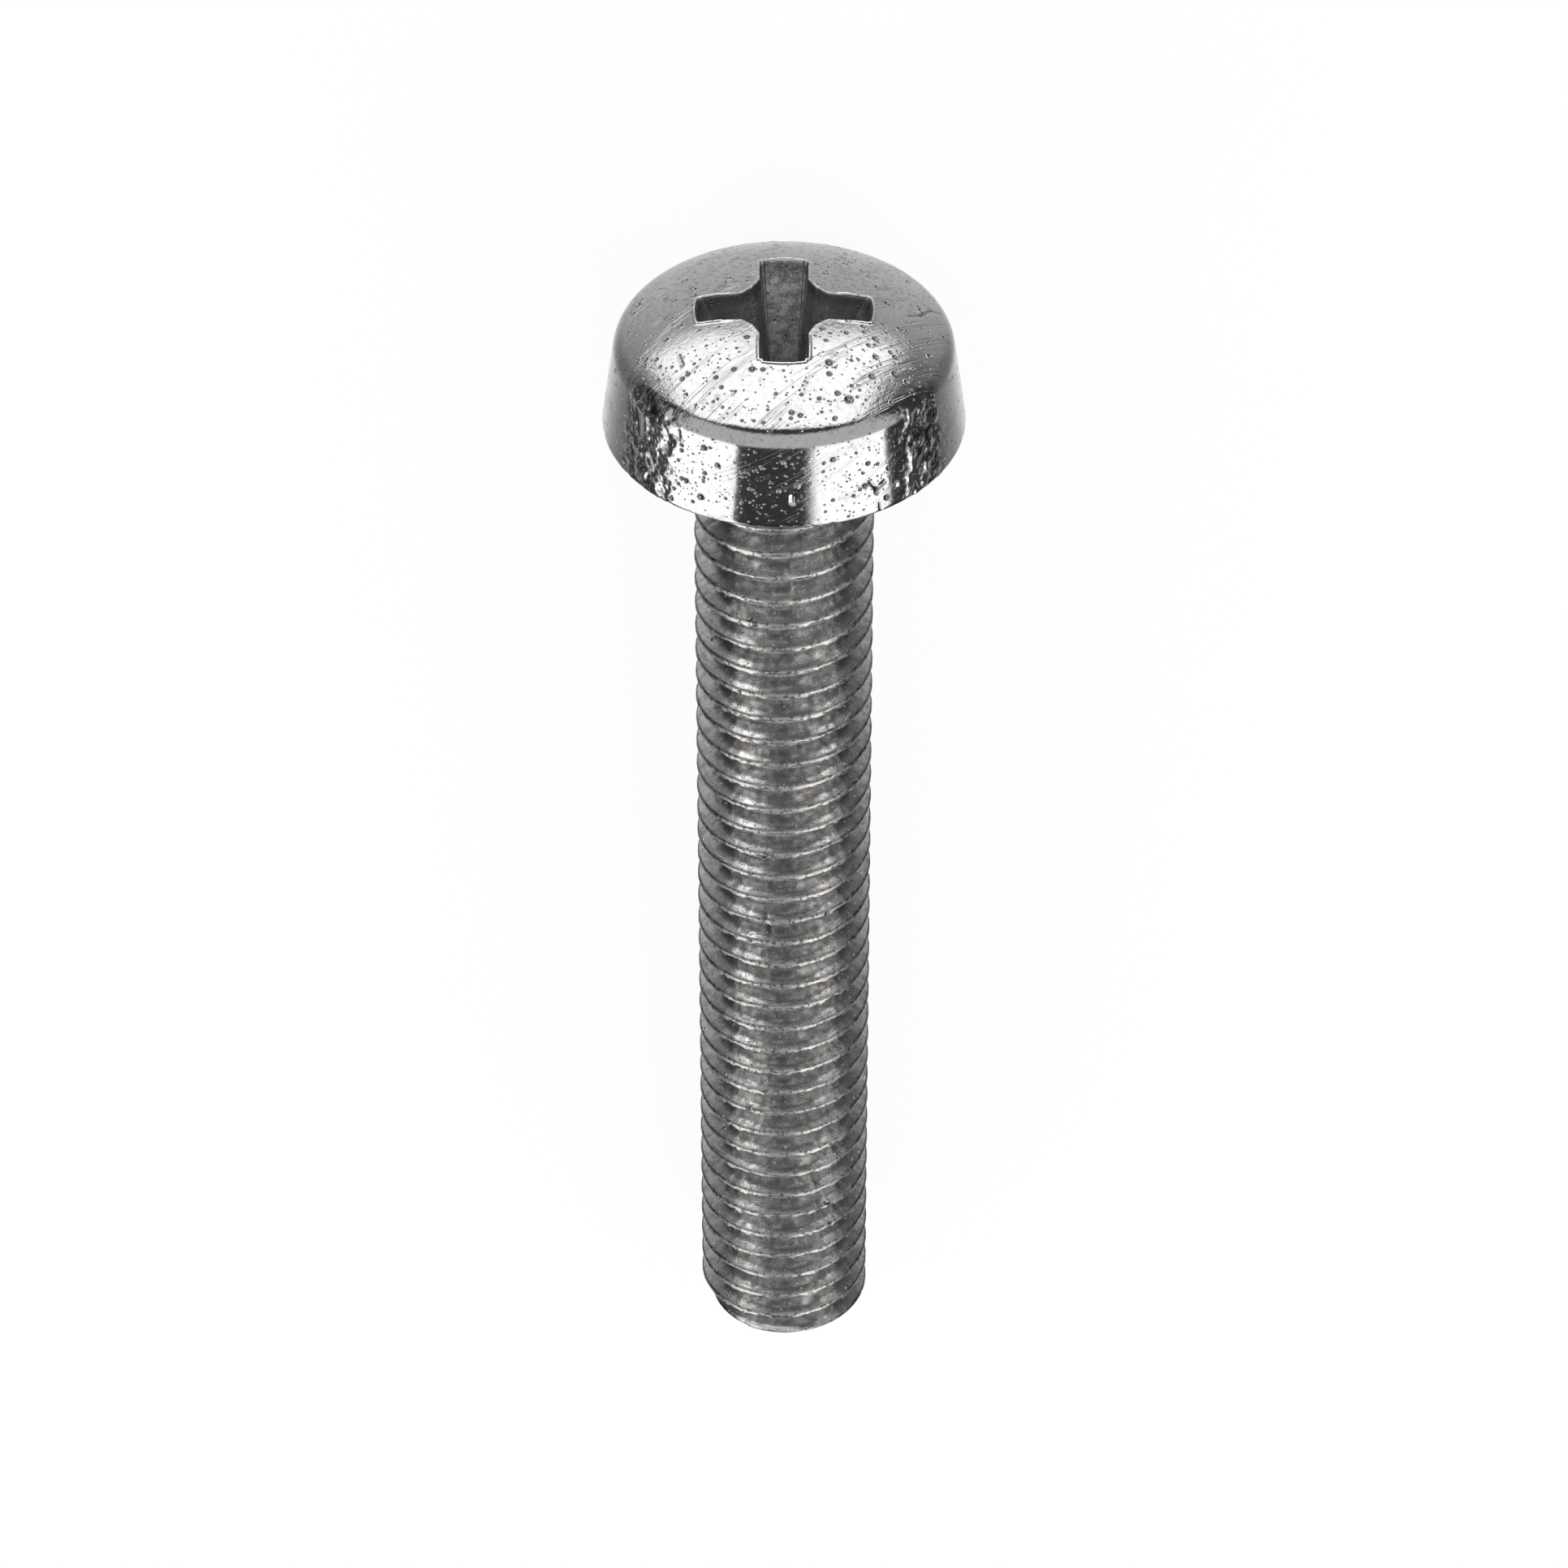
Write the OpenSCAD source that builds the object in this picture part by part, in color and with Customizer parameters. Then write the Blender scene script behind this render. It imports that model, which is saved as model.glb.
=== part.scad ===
// Machine screw with a raised cheese head and a cross recess, type H, lying on its side.
// Millimetres. The floor is z = 0, the shank runs along X and the head is at +X.
// The screw is drawn upright first: its axis is Z, the bearing face under the head is z = 0
// and the tip is below. Its pose on the floor is worked out from its own radii.

/* [Head] */
// Widest diameter of the head, at its lower rim
head_d = 5.97; // [5.5:0.01:6.4]
// Height from the bearing face to the top of the dome
head_h = 2.31; // [2.1:0.01:2.7]
// Radius of the flatter crown in the middle of the dome
crown_r = 8.3; // [6:0.1:12]
// Diameter of the crown
crown_d = 2.2; // [1.6:0.1:2.4]
// Radius of the dome outside the crown
dome_r = 4.1; // [3.4:0.01:6]
// Lean of the side wall towards the axis, in degrees
wall_lean = 8; // [1:0.5:12]
// Radius of the rounded shoulder between dome and side wall
shoulder_r = 0.39; // [0.15:0.01:0.6]
// Radius of the lower rim's edge
rim_r = 0.06; // [0.02:0.01:0.15]

/* [Recess] */
// Distance across two opposite wings where they open into the dome
wing_span = 2.98; // [2.6:0.01:3.3]
// Width of a wing at the opening
wing_w = 0.77; // [0.6:0.01:0.9]
// Depth from the opening of a wing to the floor of the recess
recess_depth = 1.68; // [1.2:0.01:1.75]
// Lean of the wing ends, in degrees
wing_end_lean = 26.5; // [20:0.5:28]
// Lean of the wing sides, in degrees
wing_side_lean = 5.75; // [3:0.25:7]
// Distance from the axis to each corner between two wings
web_r = 0.715; // [0.65:0.005:0.8]
// Angle between the two flats of such a corner, in degrees
web_angle = 146; // [138:1:152]
// Lean of those flats, in degrees
web_lean = 7; // [4:0.5:9]
// Drop of the conical floor from its rim to its centre
floor_drop = 0.16; // [0.05:0.01:0.25]

/* [Shank] */
// Length under the head
shank_len = 19.62; // [12:0.01:40]
// Diameter of the plain neck under the head
neck_d = 2.66; // [2.6:0.01:2.8]
// Length of the neck
neck_len = 0.5; // [0.35:0.01:1]
// Radius of the fillet between neck and bearing face
neck_fillet = 0.2; // [0.1:0.01:0.3]

/* [Thread] */
// Diameter over the crests
thread_d = 3; // [2.9:0.01:3.1]
// Pitch
pitch = 0.499; // [0.45:0.001:0.52]
// Width of the crest
crest_w = 0.09; // [0.06:0.005:0.12]
// Width of the root
root_w = 0.056; // [0.05:0.002:0.12]
// Distance over which the thread rises out of the shank below the neck
run_out = 0.5; // [0.3:0.01:0.8]
// Chamfer at the tip
tip_chamfer = 0.057; // [0.03:0.001:0.15]

/* [Hidden] */
$fn = 96;
eps = 0.01;
flank_lean = 30;

// Head outline: side wall, shoulder, dome and crown touch one another without a corner.
wall_n = [cos(wall_lean), sin(wall_lean)];
wall_d = [-sin(wall_lean), cos(wall_lean)];
crown_o = [0, head_h - crown_r];
crown_lean = asin(crown_d / 2 / crown_r);
crown_edge = crown_o + crown_r * [sin(crown_lean), cos(crown_lean)];
dome_o = crown_edge - dome_r * [sin(crown_lean), cos(crown_lean)];
rim_c = [head_d / 2 - rim_r, rim_r];
wall_foot = rim_c + rim_r * wall_n;
shoulder_p = wall_foot - shoulder_r * wall_n - dome_o;
shoulder_b = shoulder_p * wall_d;
shoulder_t = -shoulder_b
    + sqrt(pow(shoulder_b, 2) - shoulder_p * shoulder_p + pow(dome_r - shoulder_r, 2));
shoulder_c = dome_o + shoulder_p + shoulder_t * wall_d;
dome_lean = atan((shoulder_c - dome_o)[0] / (shoulder_c - dome_o)[1]);

// Shoulder, dome and crown from the side wall inwards, in steps too fine to be felt.
shoulder_steps = 10;
dome_steps = 14;
crown_steps = 5;
top_line = concat(
    [for (i = [0 : shoulder_steps])
        let (a = 90 - wall_lean + (dome_lean + wall_lean - 90) * i / shoulder_steps)
        shoulder_c + shoulder_r * [sin(a), cos(a)]],
    [for (i = [1 : dome_steps])
        let (a = dome_lean + (crown_lean - dome_lean) * i / dome_steps)
        dome_o + dome_r * [sin(a), cos(a)]],
    [for (i = [1 : crown_steps])
        let (a = crown_lean * (1 - i / crown_steps))
        crown_o + crown_r * [sin(a), cos(a)]]);

// Recess: z of its opening at the wing ends, and of its floor's rim.
open_z = dome_o[1] + sqrt(pow(dome_r, 2) - pow(wing_span / 2 - dome_o[0], 2));
floor_z = open_z - recess_depth;
floor_r = wing_span / 2 - recess_depth * tan(wing_end_lean);
top_z = head_h + 0.4;
web_half = web_r * sin(web_angle / 2);
web_turn = web_angle / 2 - 45;

// Thread: four points a turn, repeated on every column of a prism.
thread_r = thread_d / 2;
flank = (pitch - crest_w - root_w) / 2;
thread_h = flank / tan(flank_lean);
core_r = thread_r - thread_h;
columns = 20;
crest_drop = 1.186;
prism_top = -neck_len + 0.115;
prism_end = -neck_len - 0.03;
tip_z = -shank_len;

// Drop of each point below the middle of its crest, and the four radii.
point_drop = [-crest_w / 2, crest_w / 2, crest_w / 2 + flank, crest_w / 2 + flank + root_w];
point_r = [thread_r, thread_r, core_r, core_r];

// Height of the first crest at the front, and the number of turns that reaches past the tip.
first_z = -crest_drop + pitch * ceil((crest_drop + prism_top) / pitch + 1 / columns);
turns = 2 + ceil((first_z - point_drop[3] - tip_z) / pitch);
levels = 4 * turns;

// Pose: the lower rim of the head and the last full crest touch the floor.
rest_z = first_z + pitch / 2 - crest_w / 2
    - pitch * floor((first_z + pitch / 2 - crest_w / 2 - tip_z - tip_chamfer) / pitch);
rest_run = rim_c[1] - rest_z;
rest_rise = rim_c[0] - thread_r;
tilt = asin(rim_r / norm([rest_run, rest_rise])) + atan(rest_rise / rest_run);
lift = rim_c[0] * cos(tilt) - rim_c[1] * sin(tilt) + rim_r;
far_x = head_h * cos(tilt);
near_x = tip_z * cos(tilt) - (thread_r - tip_chamfer) * sin(tilt);
mid_x = (far_x + near_x) / 2;

// Height of a thread point before the ends are cut flat.
function raw_z(i, q) =
    first_z + pitch * i / columns - pitch * floor(q / 4) - point_drop[q % 4];

// Share of the full thread depth at a height: none at the prism, all after the run-out.
function grown(z) = min(1, max(0, (prism_end - z) / run_out));

// Radius of the thread at any height of a column.
function side_r(i, z) =
    let (u = (first_z + pitch * i / columns - z) / pitch,
         d = pitch * abs(u - round(u)))
    core_r + grown(z) * (max(core_r, thread_r - max(0, d - crest_w / 2) / tan(flank_lean)) - core_r);

// Radius of a thread point, with the tip's chamfer.
function point_radius(q, z) =
    min(core_r + grown(z) * (point_r[q % 4] - core_r), thread_r - tip_chamfer + max(0, z - tip_z));

// Radius and height of a point once the prism's top and the tip are flat.
function cut_point(i, q) =
    let (z = raw_z(i, q), below = raw_z(i, q + 1), above = raw_z(i, max(0, q - 1)))
    z > prism_top ? [core_r - max(0, below - prism_top), prism_top]
    : z < tip_z ? [min(side_r(i, tip_z), thread_r - tip_chamfer) - max(0, tip_z - above), tip_z]
    : [point_radius(q, z), z];

// Point of a flat end that every edge of that end can be joined to.
function hub(angle, z) = [core_r / 4 * cos(angle), core_r / 4 * sin(angle), z];

// The neck, the head and their fillet, without the recess.
module head_blank() {
    rotate_extrude() {
        polygon(concat([[0, 0], [rim_c[0], 0], rim_c, wall_foot], top_line));
        translate(rim_c) circle(r = rim_r);
        polygon([[0, eps], [neck_d / 2, eps], [neck_d / 2, -neck_len + 0.07],
                 [neck_d / 2 - 0.07, -neck_len], [0, -neck_len]]);
        difference() {
            translate([neck_d / 2 - eps, -neck_fillet]) square([neck_fillet + eps, neck_fillet + eps]);
            translate([neck_d / 2 + neck_fillet, -neck_fillet]) circle(r = neck_fillet);
        }
    }
}

// A slot through the axis whose two sides lean together towards the bottom.
module leaning_slot(half_w, lean) {
    up = (top_z - open_z) * tan(lean);
    down = (open_z - floor_z + floor_drop) * tan(lean);
    rotate([90, 0, 0]) linear_extrude(height = head_d, center = true)
        polygon([[-half_w - up, top_z], [half_w + up, top_z],
                 [half_w - down, floor_z - floor_drop], [-half_w + down, floor_z - floor_drop]]);
}

// The cone of the wing ends with the shallow conical floor.
module recess_cone() {
    rotate_extrude()
        polygon([[0, floor_z - floor_drop], [floor_r, floor_z],
                 [wing_span / 2 + (top_z - open_z) * tan(wing_end_lean), top_z], [0, top_z]]);
}

// The cross recess: two crossing pairs of wings and the eight flats of the web.
module cross_recess() {
    intersection() {
        recess_cone();
        union() {
            for (a = [0, 90]) rotate([0, 0, a]) {
                leaning_slot(wing_w / 2, wing_side_lean);
                intersection_for (b = [-web_turn, web_turn])
                    rotate([0, 0, b]) leaning_slot(web_half, web_lean);
            }
        }
    }
}

// The threaded shank: columns of points joined along the helix, with both ends cut flat.
module threaded_shank() {
    points = concat(
        [for (i = [0 : columns - 1]) for (q = [0 : levels - 1])
            let (p = cut_point(i, q), a = 360 * i / columns - 90)
            [p[0] * cos(a), p[0] * sin(a), p[1]]],
        [hub(-30, prism_top), hub(-165, tip_z)]);
    crown = columns * levels;
    toe = crown + 1;
    wall = [for (i = [0 : columns - 2]) for (q = [0 : levels - 2])
        let (a = i * levels + q, b = a + levels)
        each [[a, b, b + 1], [a, b + 1, a + 1]]];
    seam = [for (q = [4 : levels - 2])
        let (a = (columns - 1) * levels + q, b = q - 4)
        each [[a, b, b + 1], [a, b + 1, a + 1]]];
    top_loop = concat([for (i = [0 : columns - 1]) i * levels],
                      [for (q = [1 : 4]) (columns - 1) * levels + q]);
    tip_loop = concat([for (q = [levels - 5 : levels - 1]) q],
                      [for (i = [1 : columns - 1]) i * levels + levels - 1]);
    lid = [for (n = [0 : len(top_loop) - 1])
        [crown, top_loop[(n + 1) % len(top_loop)], top_loop[n]]];
    sole = [for (n = [0 : len(tip_loop) - 1])
        [toe, tip_loop[n], tip_loop[(n + 1) % len(tip_loop)]]];
    polyhedron(points = points, faces = concat(wall, seam, lid, sole), convexity = 6);
}

// The whole screw, upright.
module upright_screw() {
    difference() {
        head_blank();
        cross_recess();
    }
    threaded_shank();
}

// The screw as it comes to rest on the floor.
module machine_screw() {
    color("#9a9a9c")
        translate([-mid_x, 0, lift])
            rotate([0, -tilt, 0]) rotate([-90, 0, 0]) rotate([0, 90, 0])
                upright_screw();
}

machine_screw();
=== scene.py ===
"""Bright steel machine screw with a raised cheese head and a cross recess, lying on a pale floor.

The screw is drawn upright in millimetres, as in the part's source: its axis is Z, the bearing face
under the head is z = 0, the tip points down and -Y is the front. ScrewPose lays it on the floor.
"""

import logging
import math
from dataclasses import dataclass, field
from enum import Enum

import bpy
import numpy as np
from mathutils import Matrix, Vector


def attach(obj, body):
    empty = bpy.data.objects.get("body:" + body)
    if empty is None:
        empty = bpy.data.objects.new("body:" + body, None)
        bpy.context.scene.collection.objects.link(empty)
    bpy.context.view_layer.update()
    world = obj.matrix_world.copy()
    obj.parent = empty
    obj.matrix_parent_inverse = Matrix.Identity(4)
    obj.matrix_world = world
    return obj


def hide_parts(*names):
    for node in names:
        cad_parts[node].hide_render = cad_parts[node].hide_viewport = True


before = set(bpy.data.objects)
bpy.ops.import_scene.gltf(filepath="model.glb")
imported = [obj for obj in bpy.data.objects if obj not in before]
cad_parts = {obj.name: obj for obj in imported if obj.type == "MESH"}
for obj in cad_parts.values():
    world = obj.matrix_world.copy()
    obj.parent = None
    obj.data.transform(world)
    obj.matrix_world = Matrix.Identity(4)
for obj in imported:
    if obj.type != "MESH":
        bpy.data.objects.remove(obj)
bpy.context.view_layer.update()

LOG = logging.getLogger("machine_screw")
MM = 0.001
PHOTO_SIDE = 1932
SENSOR = 36.0
NODE = "machine_screw"

Colour = tuple[float, float, float, float]


def smooth(x: np.ndarray, low: float, high: float) -> np.ndarray:
    """Gives a soft step.

    Args:
        x: The values.
        low: Where the step starts.
        high: Where it ends.

    Returns:
        0 before low, 1 after high, and an S-curve between.
    """
    t = np.clip((x - low) / (high - low), 0.0, 1.0)
    return t * t * (3 - 2 * t)


def lattice(cell: np.ndarray, seed: int) -> np.ndarray:
    """Gives a fixed random number for each whole-numbered cell.

    Args:
        cell: Integer coordinates, one row a point.
        seed: Picks the pattern.

    Returns:
        One number from -1 to 1 a point.
    """
    n = cell.astype(np.int64)
    h = n[:, 0] * 73856093 ^ n[:, 1] * 19349663 ^ n[:, 2] * 83492791 ^ (seed * 2654435761)
    h = (h ^ (h >> 13)) & 0x7FFFFFFF
    h = (h * 1274126177) & 0x7FFFFFFF
    h = (h ^ (h >> 15)) & 0x7FFFFFFF
    return (h % 100003) / 50001.0 - 1.0


def value_noise(points: np.ndarray, cell: float, seed: int) -> np.ndarray:
    """Gives smooth random heights.

    Args:
        points: Places in millimetres, one row a point.
        cell: Size of one lump in millimetres.
        seed: Picks the pattern.

    Returns:
        One height from about -1 to 1 a point.
    """
    q = points / cell
    base = np.floor(q)
    f = q - base
    f = f * f * (3 - 2 * f)
    total = np.zeros(len(points))
    for corner in range(8):
        step = np.array([corner & 1, corner >> 1 & 1, corner >> 2 & 1])
        share = np.prod(np.where(step == 1, f, 1 - f), axis=1)
        total += share * lattice(base + step, seed)
    return total


def lay_mesh(name: str, points: np.ndarray, faces: list[tuple[int, ...]], slots: np.ndarray | None = None) -> bpy.types.Object:
    """Makes a smooth-shaded mesh object whose faces look outwards.

    Args:
        name: The piece's name.
        points: World coordinates in metres, one row a vertex.
        faces: Vertex numbers of each face.
        slots: Material slot of each face.

    Returns:
        The new object, linked to the scene.
    """
    mesh = bpy.data.meshes.new(name)
    mesh.from_pydata(points.tolist(), [], faces)
    mesh.polygons.foreach_set("use_smooth", [True] * len(mesh.polygons))
    if slots is not None:
        mesh.polygons.foreach_set("material_index", slots.tolist())
    tri = np.array([(f[0], f[1], f[2]) for f in faces] + [(f[0], f[2], f[3]) for f in faces if len(f) == 4])
    a, b, c = points[tri[:, 0]], points[tri[:, 1]], points[tri[:, 2]]
    if np.einsum("ij,ij->i", a, np.cross(b, c)).sum() < 0:
        mesh.flip_normals()
    mesh.validate()
    mesh.update()
    obj = bpy.data.objects.new(name, mesh)
    bpy.context.scene.collection.objects.link(obj)
    return obj


def paint(piece: bpy.types.Object, name: str, values: np.ndarray) -> None:
    """Stores one number a vertex, which the materials read by name."""
    layer = piece.data.attributes.new(name, "FLOAT", "POINT")
    layer.data.foreach_set("value", values.astype(np.float32))


def paint_pits(piece: bpy.types.Object, points: np.ndarray, pits: np.ndarray, reach: float) -> None:
    """Stores at each face's corners the way from the face's nearest pit, in radii, and the radius.

    Args:
        piece: The object whose mesh is painted.
        points: Upright place of each vertex, in millimetres.
        pits: X, Y, Z and radius, one row a pit.
        reach: How far outside a pit's edge a face may have its middle and still hold the pit.
    """
    mesh = piece.data
    corner = np.empty(len(mesh.loops), dtype=np.int32)
    mesh.loops.foreach_get("vertex_index", corner)
    count = np.empty(len(mesh.polygons), dtype=np.int32)
    mesh.polygons.foreach_get("loop_total", count)
    face = np.repeat(np.arange(len(count)), count)
    middle = np.stack([np.bincount(face, points[corner, k], len(count)) for k in range(3)], 1) / count[:, None]
    nearest, held = np.full(len(count), reach), np.full(len(count), -1)
    for k, (x, y, z, radius) in enumerate(pits):
        close = np.flatnonzero(np.abs(middle[:, 2] - z) < radius + reach)
        away = np.linalg.norm(middle[close] - (x, y, z), axis=1) - radius
        win = away < nearest[close]
        nearest[close[win]], held[close[win]] = away[win], k
    way, size = np.full((len(corner), 3), 9.0), np.zeros(len(corner))
    inside = np.flatnonzero(held[face] >= 0)
    chosen = pits[held[face][inside]]
    way[inside] = (points[corner[inside]] - chosen[:, :3]) / chosen[:, 3:]
    size[inside] = chosen[:, 3]
    mesh.attributes.new("pit_way", "FLOAT_VECTOR", "CORNER").data.foreach_set("vector", way.ravel().astype(np.float32))
    mesh.attributes.new("pit_radius", "FLOAT", "CORNER").data.foreach_set("value", size.astype(np.float32))


@dataclass(frozen=True)
class ScrewSizes:
    """Sizes of the screw in millimetres and degrees, as in the part's source."""

    head_d: float = 5.97
    head_h: float = 2.31
    crown_r: float = 8.3
    crown_d: float = 2.2
    dome_r: float = 4.1
    wall_lean: float = 8.0
    shoulder_r: float = 0.39
    rim_r: float = 0.06
    wing_span: float = 2.98
    wing_w: float = 0.77
    recess_depth: float = 1.68
    wing_end_lean: float = 26.5
    wing_side_lean: float = 5.75
    web_r: float = 0.715
    web_angle: float = 146.0
    web_lean: float = 7.0
    floor_drop: float = 0.16
    shank_len: float = 19.62
    neck_d: float = 2.66
    neck_len: float = 0.5
    neck_fillet: float = 0.2
    thread_d: float = 3.0
    pitch: float = 0.499
    crest_w: float = 0.09
    root_w: float = 0.056
    run_out: float = 0.5
    tip_chamfer: float = 0.057
    flank_lean: float = 30.0
    crest_drop: float = 1.186
    source_columns: int = 20

    @property
    def crown_z(self) -> float:
        """Height of the crown's centre, on the axis."""
        return self.head_h - self.crown_r

    @property
    def dome_centre(self) -> np.ndarray:
        """Distance from the axis and height of the centre of the dome outside the crown."""
        lean = math.asin(self.crown_d / 2 / self.crown_r)
        inward = self.crown_r - self.dome_r
        return np.array([inward * math.sin(lean), self.crown_z + inward * math.cos(lean)])

    @property
    def core_r(self) -> float:
        """Radius of the thread's root."""
        flank = (self.pitch - self.crest_w - self.root_w) / 2
        return self.thread_d / 2 - flank / math.tan(math.radians(self.flank_lean))

    @property
    def prism_top(self) -> float:
        """Height where the threaded body starts, inside the neck."""
        return 0.115 - self.neck_len

    @property
    def first_z(self) -> float:
        """Height of the first crest at the front."""
        turns = math.ceil((self.crest_drop + self.prism_top) / self.pitch + 1 / self.source_columns)
        return self.pitch * turns - self.crest_drop

    def dome_height(self, radius: np.ndarray) -> np.ndarray:
        """Height of the dome at a distance from the axis."""
        middle = self.dome_centre
        crown = self.crown_z + np.sqrt(self.crown_r**2 - np.minimum(radius, self.crown_d) ** 2)
        dome = middle[1] + np.sqrt(self.dome_r**2 - (np.maximum(radius, 0.5) - middle[0]) ** 2)
        return np.where(radius < self.crown_d / 2, crown, dome)

    def dome_normal(self, points: np.ndarray) -> np.ndarray:
        """Gives the outward direction of the dome.

        Args:
            points: Upright places on the dome, one row a point.

        Returns:
            One unit vector a point.
        """
        radius = np.maximum(np.hypot(points[:, 0], points[:, 1]), 1e-6)
        middle = self.dome_centre
        lean = np.where(radius < self.crown_d / 2, radius / self.crown_r, (radius - middle[0]) / self.dome_r)
        return np.column_stack([points[:, :2] * (lean / radius)[:, None], np.sqrt(1 - lean**2)])


@dataclass(frozen=True)
class ScrewPose:
    """How the upright screw lies on the floor: on the head's lower rim and the last full crest."""

    sizes: ScrewSizes

    @property
    def tilt(self) -> float:
        """Angle of the axis above the floor, in radians."""
        s = self.sizes
        low = s.first_z + s.pitch / 2 - s.crest_w / 2
        turns = math.floor((low + s.shank_len - s.tip_chamfer) / s.pitch)
        run = s.rim_r - (low - s.pitch * turns)
        rise = s.head_d / 2 - s.rim_r - s.thread_d / 2
        return math.asin(s.rim_r / math.hypot(run, rise)) + math.atan(rise / run)

    @property
    def lift(self) -> float:
        """Height of the bearing face's centre above the floor."""
        s = self.sizes
        return (s.head_d / 2 - s.rim_r) * math.cos(self.tilt) - s.rim_r * math.sin(self.tilt) + s.rim_r

    @property
    def shift(self) -> float:
        """Place of the bearing face's centre along the floor."""
        s = self.sizes
        far = s.head_h * math.cos(self.tilt)
        near = -s.shank_len * math.cos(self.tilt) - (s.thread_d / 2 - s.tip_chamfer) * math.sin(self.tilt)
        return -(far + near) / 2

    def axes(self) -> Matrix:
        """World directions of the upright X, Y and Z, as columns."""
        c, s = math.cos(self.tilt), math.sin(self.tilt)
        return Matrix(((0, s, c), (-1, 0, 0), (0, -c, s)))

    def origin(self) -> Vector:
        """World place of the bearing face's centre, in millimetres."""
        return Vector((self.shift, 0.0, self.lift))

    def to_world(self, points: np.ndarray) -> np.ndarray:
        """Moves upright points to the floor.

        Args:
            points: Upright coordinates in millimetres, one row a point.

        Returns:
            World coordinates in metres.
        """
        return (points @ np.array(self.axes()).T + np.array(self.origin())) * MM


@dataclass(frozen=True)
class Mark:
    """A pit, gouge or drop: a round-ended stroke from one point to another on the surface."""

    start: tuple[float, float, float]
    end: tuple[float, float, float]
    radius: float
    depth: float
    lip: float = 0.14
    tone: float = -0.5

    def height(self, points: np.ndarray) -> np.ndarray:
        """Gives what the mark adds to the surface.

        Args:
            points: Upright coordinates in millimetres, one row a point.

        Returns:
            The change along the surface's normal at each point, in millimetres.
        """
        a, b = np.array(self.start), np.array(self.end)
        span = b - a
        reach = self.radius * 1.6 + np.linalg.norm(span)
        near = np.flatnonzero(np.abs(points - (a + b) / 2).max(axis=1) < reach)
        out = np.zeros(len(points))
        if len(near) == 0:
            return out
        p = points[near] - a
        along = np.clip(p @ span / max(span @ span, 1e-12), 0, 1)
        u = np.linalg.norm(p - along[:, None] * span, axis=1) / self.radius
        bowl = np.where(u < 1, (1 - u * u) ** 2, 0.0)
        rim = self.lip * np.exp(-(((u - 1.12) / 0.2) ** 2))
        out[near] = self.depth * (rim - bowl)
        return out

    def shade(self, points: np.ndarray) -> np.ndarray:
        """Gives how much darker (below 0) or lighter the mark makes the metal at each point."""
        sign = -1.0 if self.depth > 0 else 1.0
        return self.tone * np.clip(sign * self.height(points) / abs(self.depth) * 2.2, 0, 1)


class Look(Enum):
    """Which way the fine scratches of a surface run."""

    TOP = "straight across the dome"
    SIDE = "slanting round the side wall"
    BORE = "down the recess"
    THREAD = "round the thread"


@dataclass(frozen=True)
class SteelFinish:
    """One surface's finish: colours are linear, heights and scales are in millimetres."""

    name: str
    look: Look
    base: Colour
    stain: Colour
    roughness: float
    stain_roughness: float
    stain_share: float
    stain_scale: float
    grain_depth: float
    grain_rough: float
    pit_spacing: float
    pit_size: float
    pit_depth: float
    pit_share: float
    lump_scale: float
    lump_depth: float
    crest: Colour | None = None


STEEL: Colour = (0.352, 0.345, 0.346, 1.0)
# Lighter colour for worn nicks and drops. It is also the painted highlight on the recess's lip and on the thread's
# flanks.
WORN_EDGE_AND_HIGHLIGHT: Colour = (0.56, 0.555, 0.545, 1.0)
CORRODED: Colour = (0.46, 0.452, 0.452, 1.0)
# Near-black for soot, pits and dirt. It is also the painted shade in the recess under its lip, in the thread's roots
# and at the foot of the side wall.
SOOT_AND_SHADE: Colour = (0.045, 0.043, 0.044, 1.0)
DOME_FINISH = SteelFinish("steel_dome", Look.TOP, STEEL, (0.26, 0.252, 0.254, 1.0), 0.14, 0.24, 0.12, 0.45,
                          0.0022, 0.05, 0.09, 0.022, 0.008, 0.5, 0.07, 0.0032)
SIDE_FINISH = SteelFinish("steel_side", Look.SIDE, STEEL, (0.25, 0.242, 0.244, 1.0), 0.1, 0.2, 0.1, 0.4,
                          0.0004, 0.03, 0.065, 0.018, 0.013, 0.6, 0.12, 0.0009)
BORE_FINISH = SteelFinish("steel_recess", Look.BORE, (0.49, 0.482, 0.483, 1.0), (0.3, 0.292, 0.294, 1.0), 0.5, 0.6,
                          0.5, 0.14, 0.002, 0.08, 0.1, 0.03, 0.01, 0.5, 0.07, 0.006)
UNDER_FINISH = SteelFinish("steel_underside", Look.TOP, (0.3, 0.293, 0.295, 1.0), (0.2, 0.193, 0.195, 1.0), 0.25, 0.4,
                           0.4, 0.3, 0.001, 0.1, 0.14, 0.03, 0.006, 0.3, 0.12, 0.002)
THREAD_FINISH = SteelFinish("steel_thread", Look.THREAD, (0.6, 0.593, 0.59, 1.0), (0.28, 0.275, 0.276, 1.0), 0.2, 0.32,
                            0.4, 0.17, 0.0006, 0.06, 0.1, 0.02, 0.008, 0.45, 0.1, 0.0026, (0.37, 0.363, 0.348, 1.0))


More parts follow.
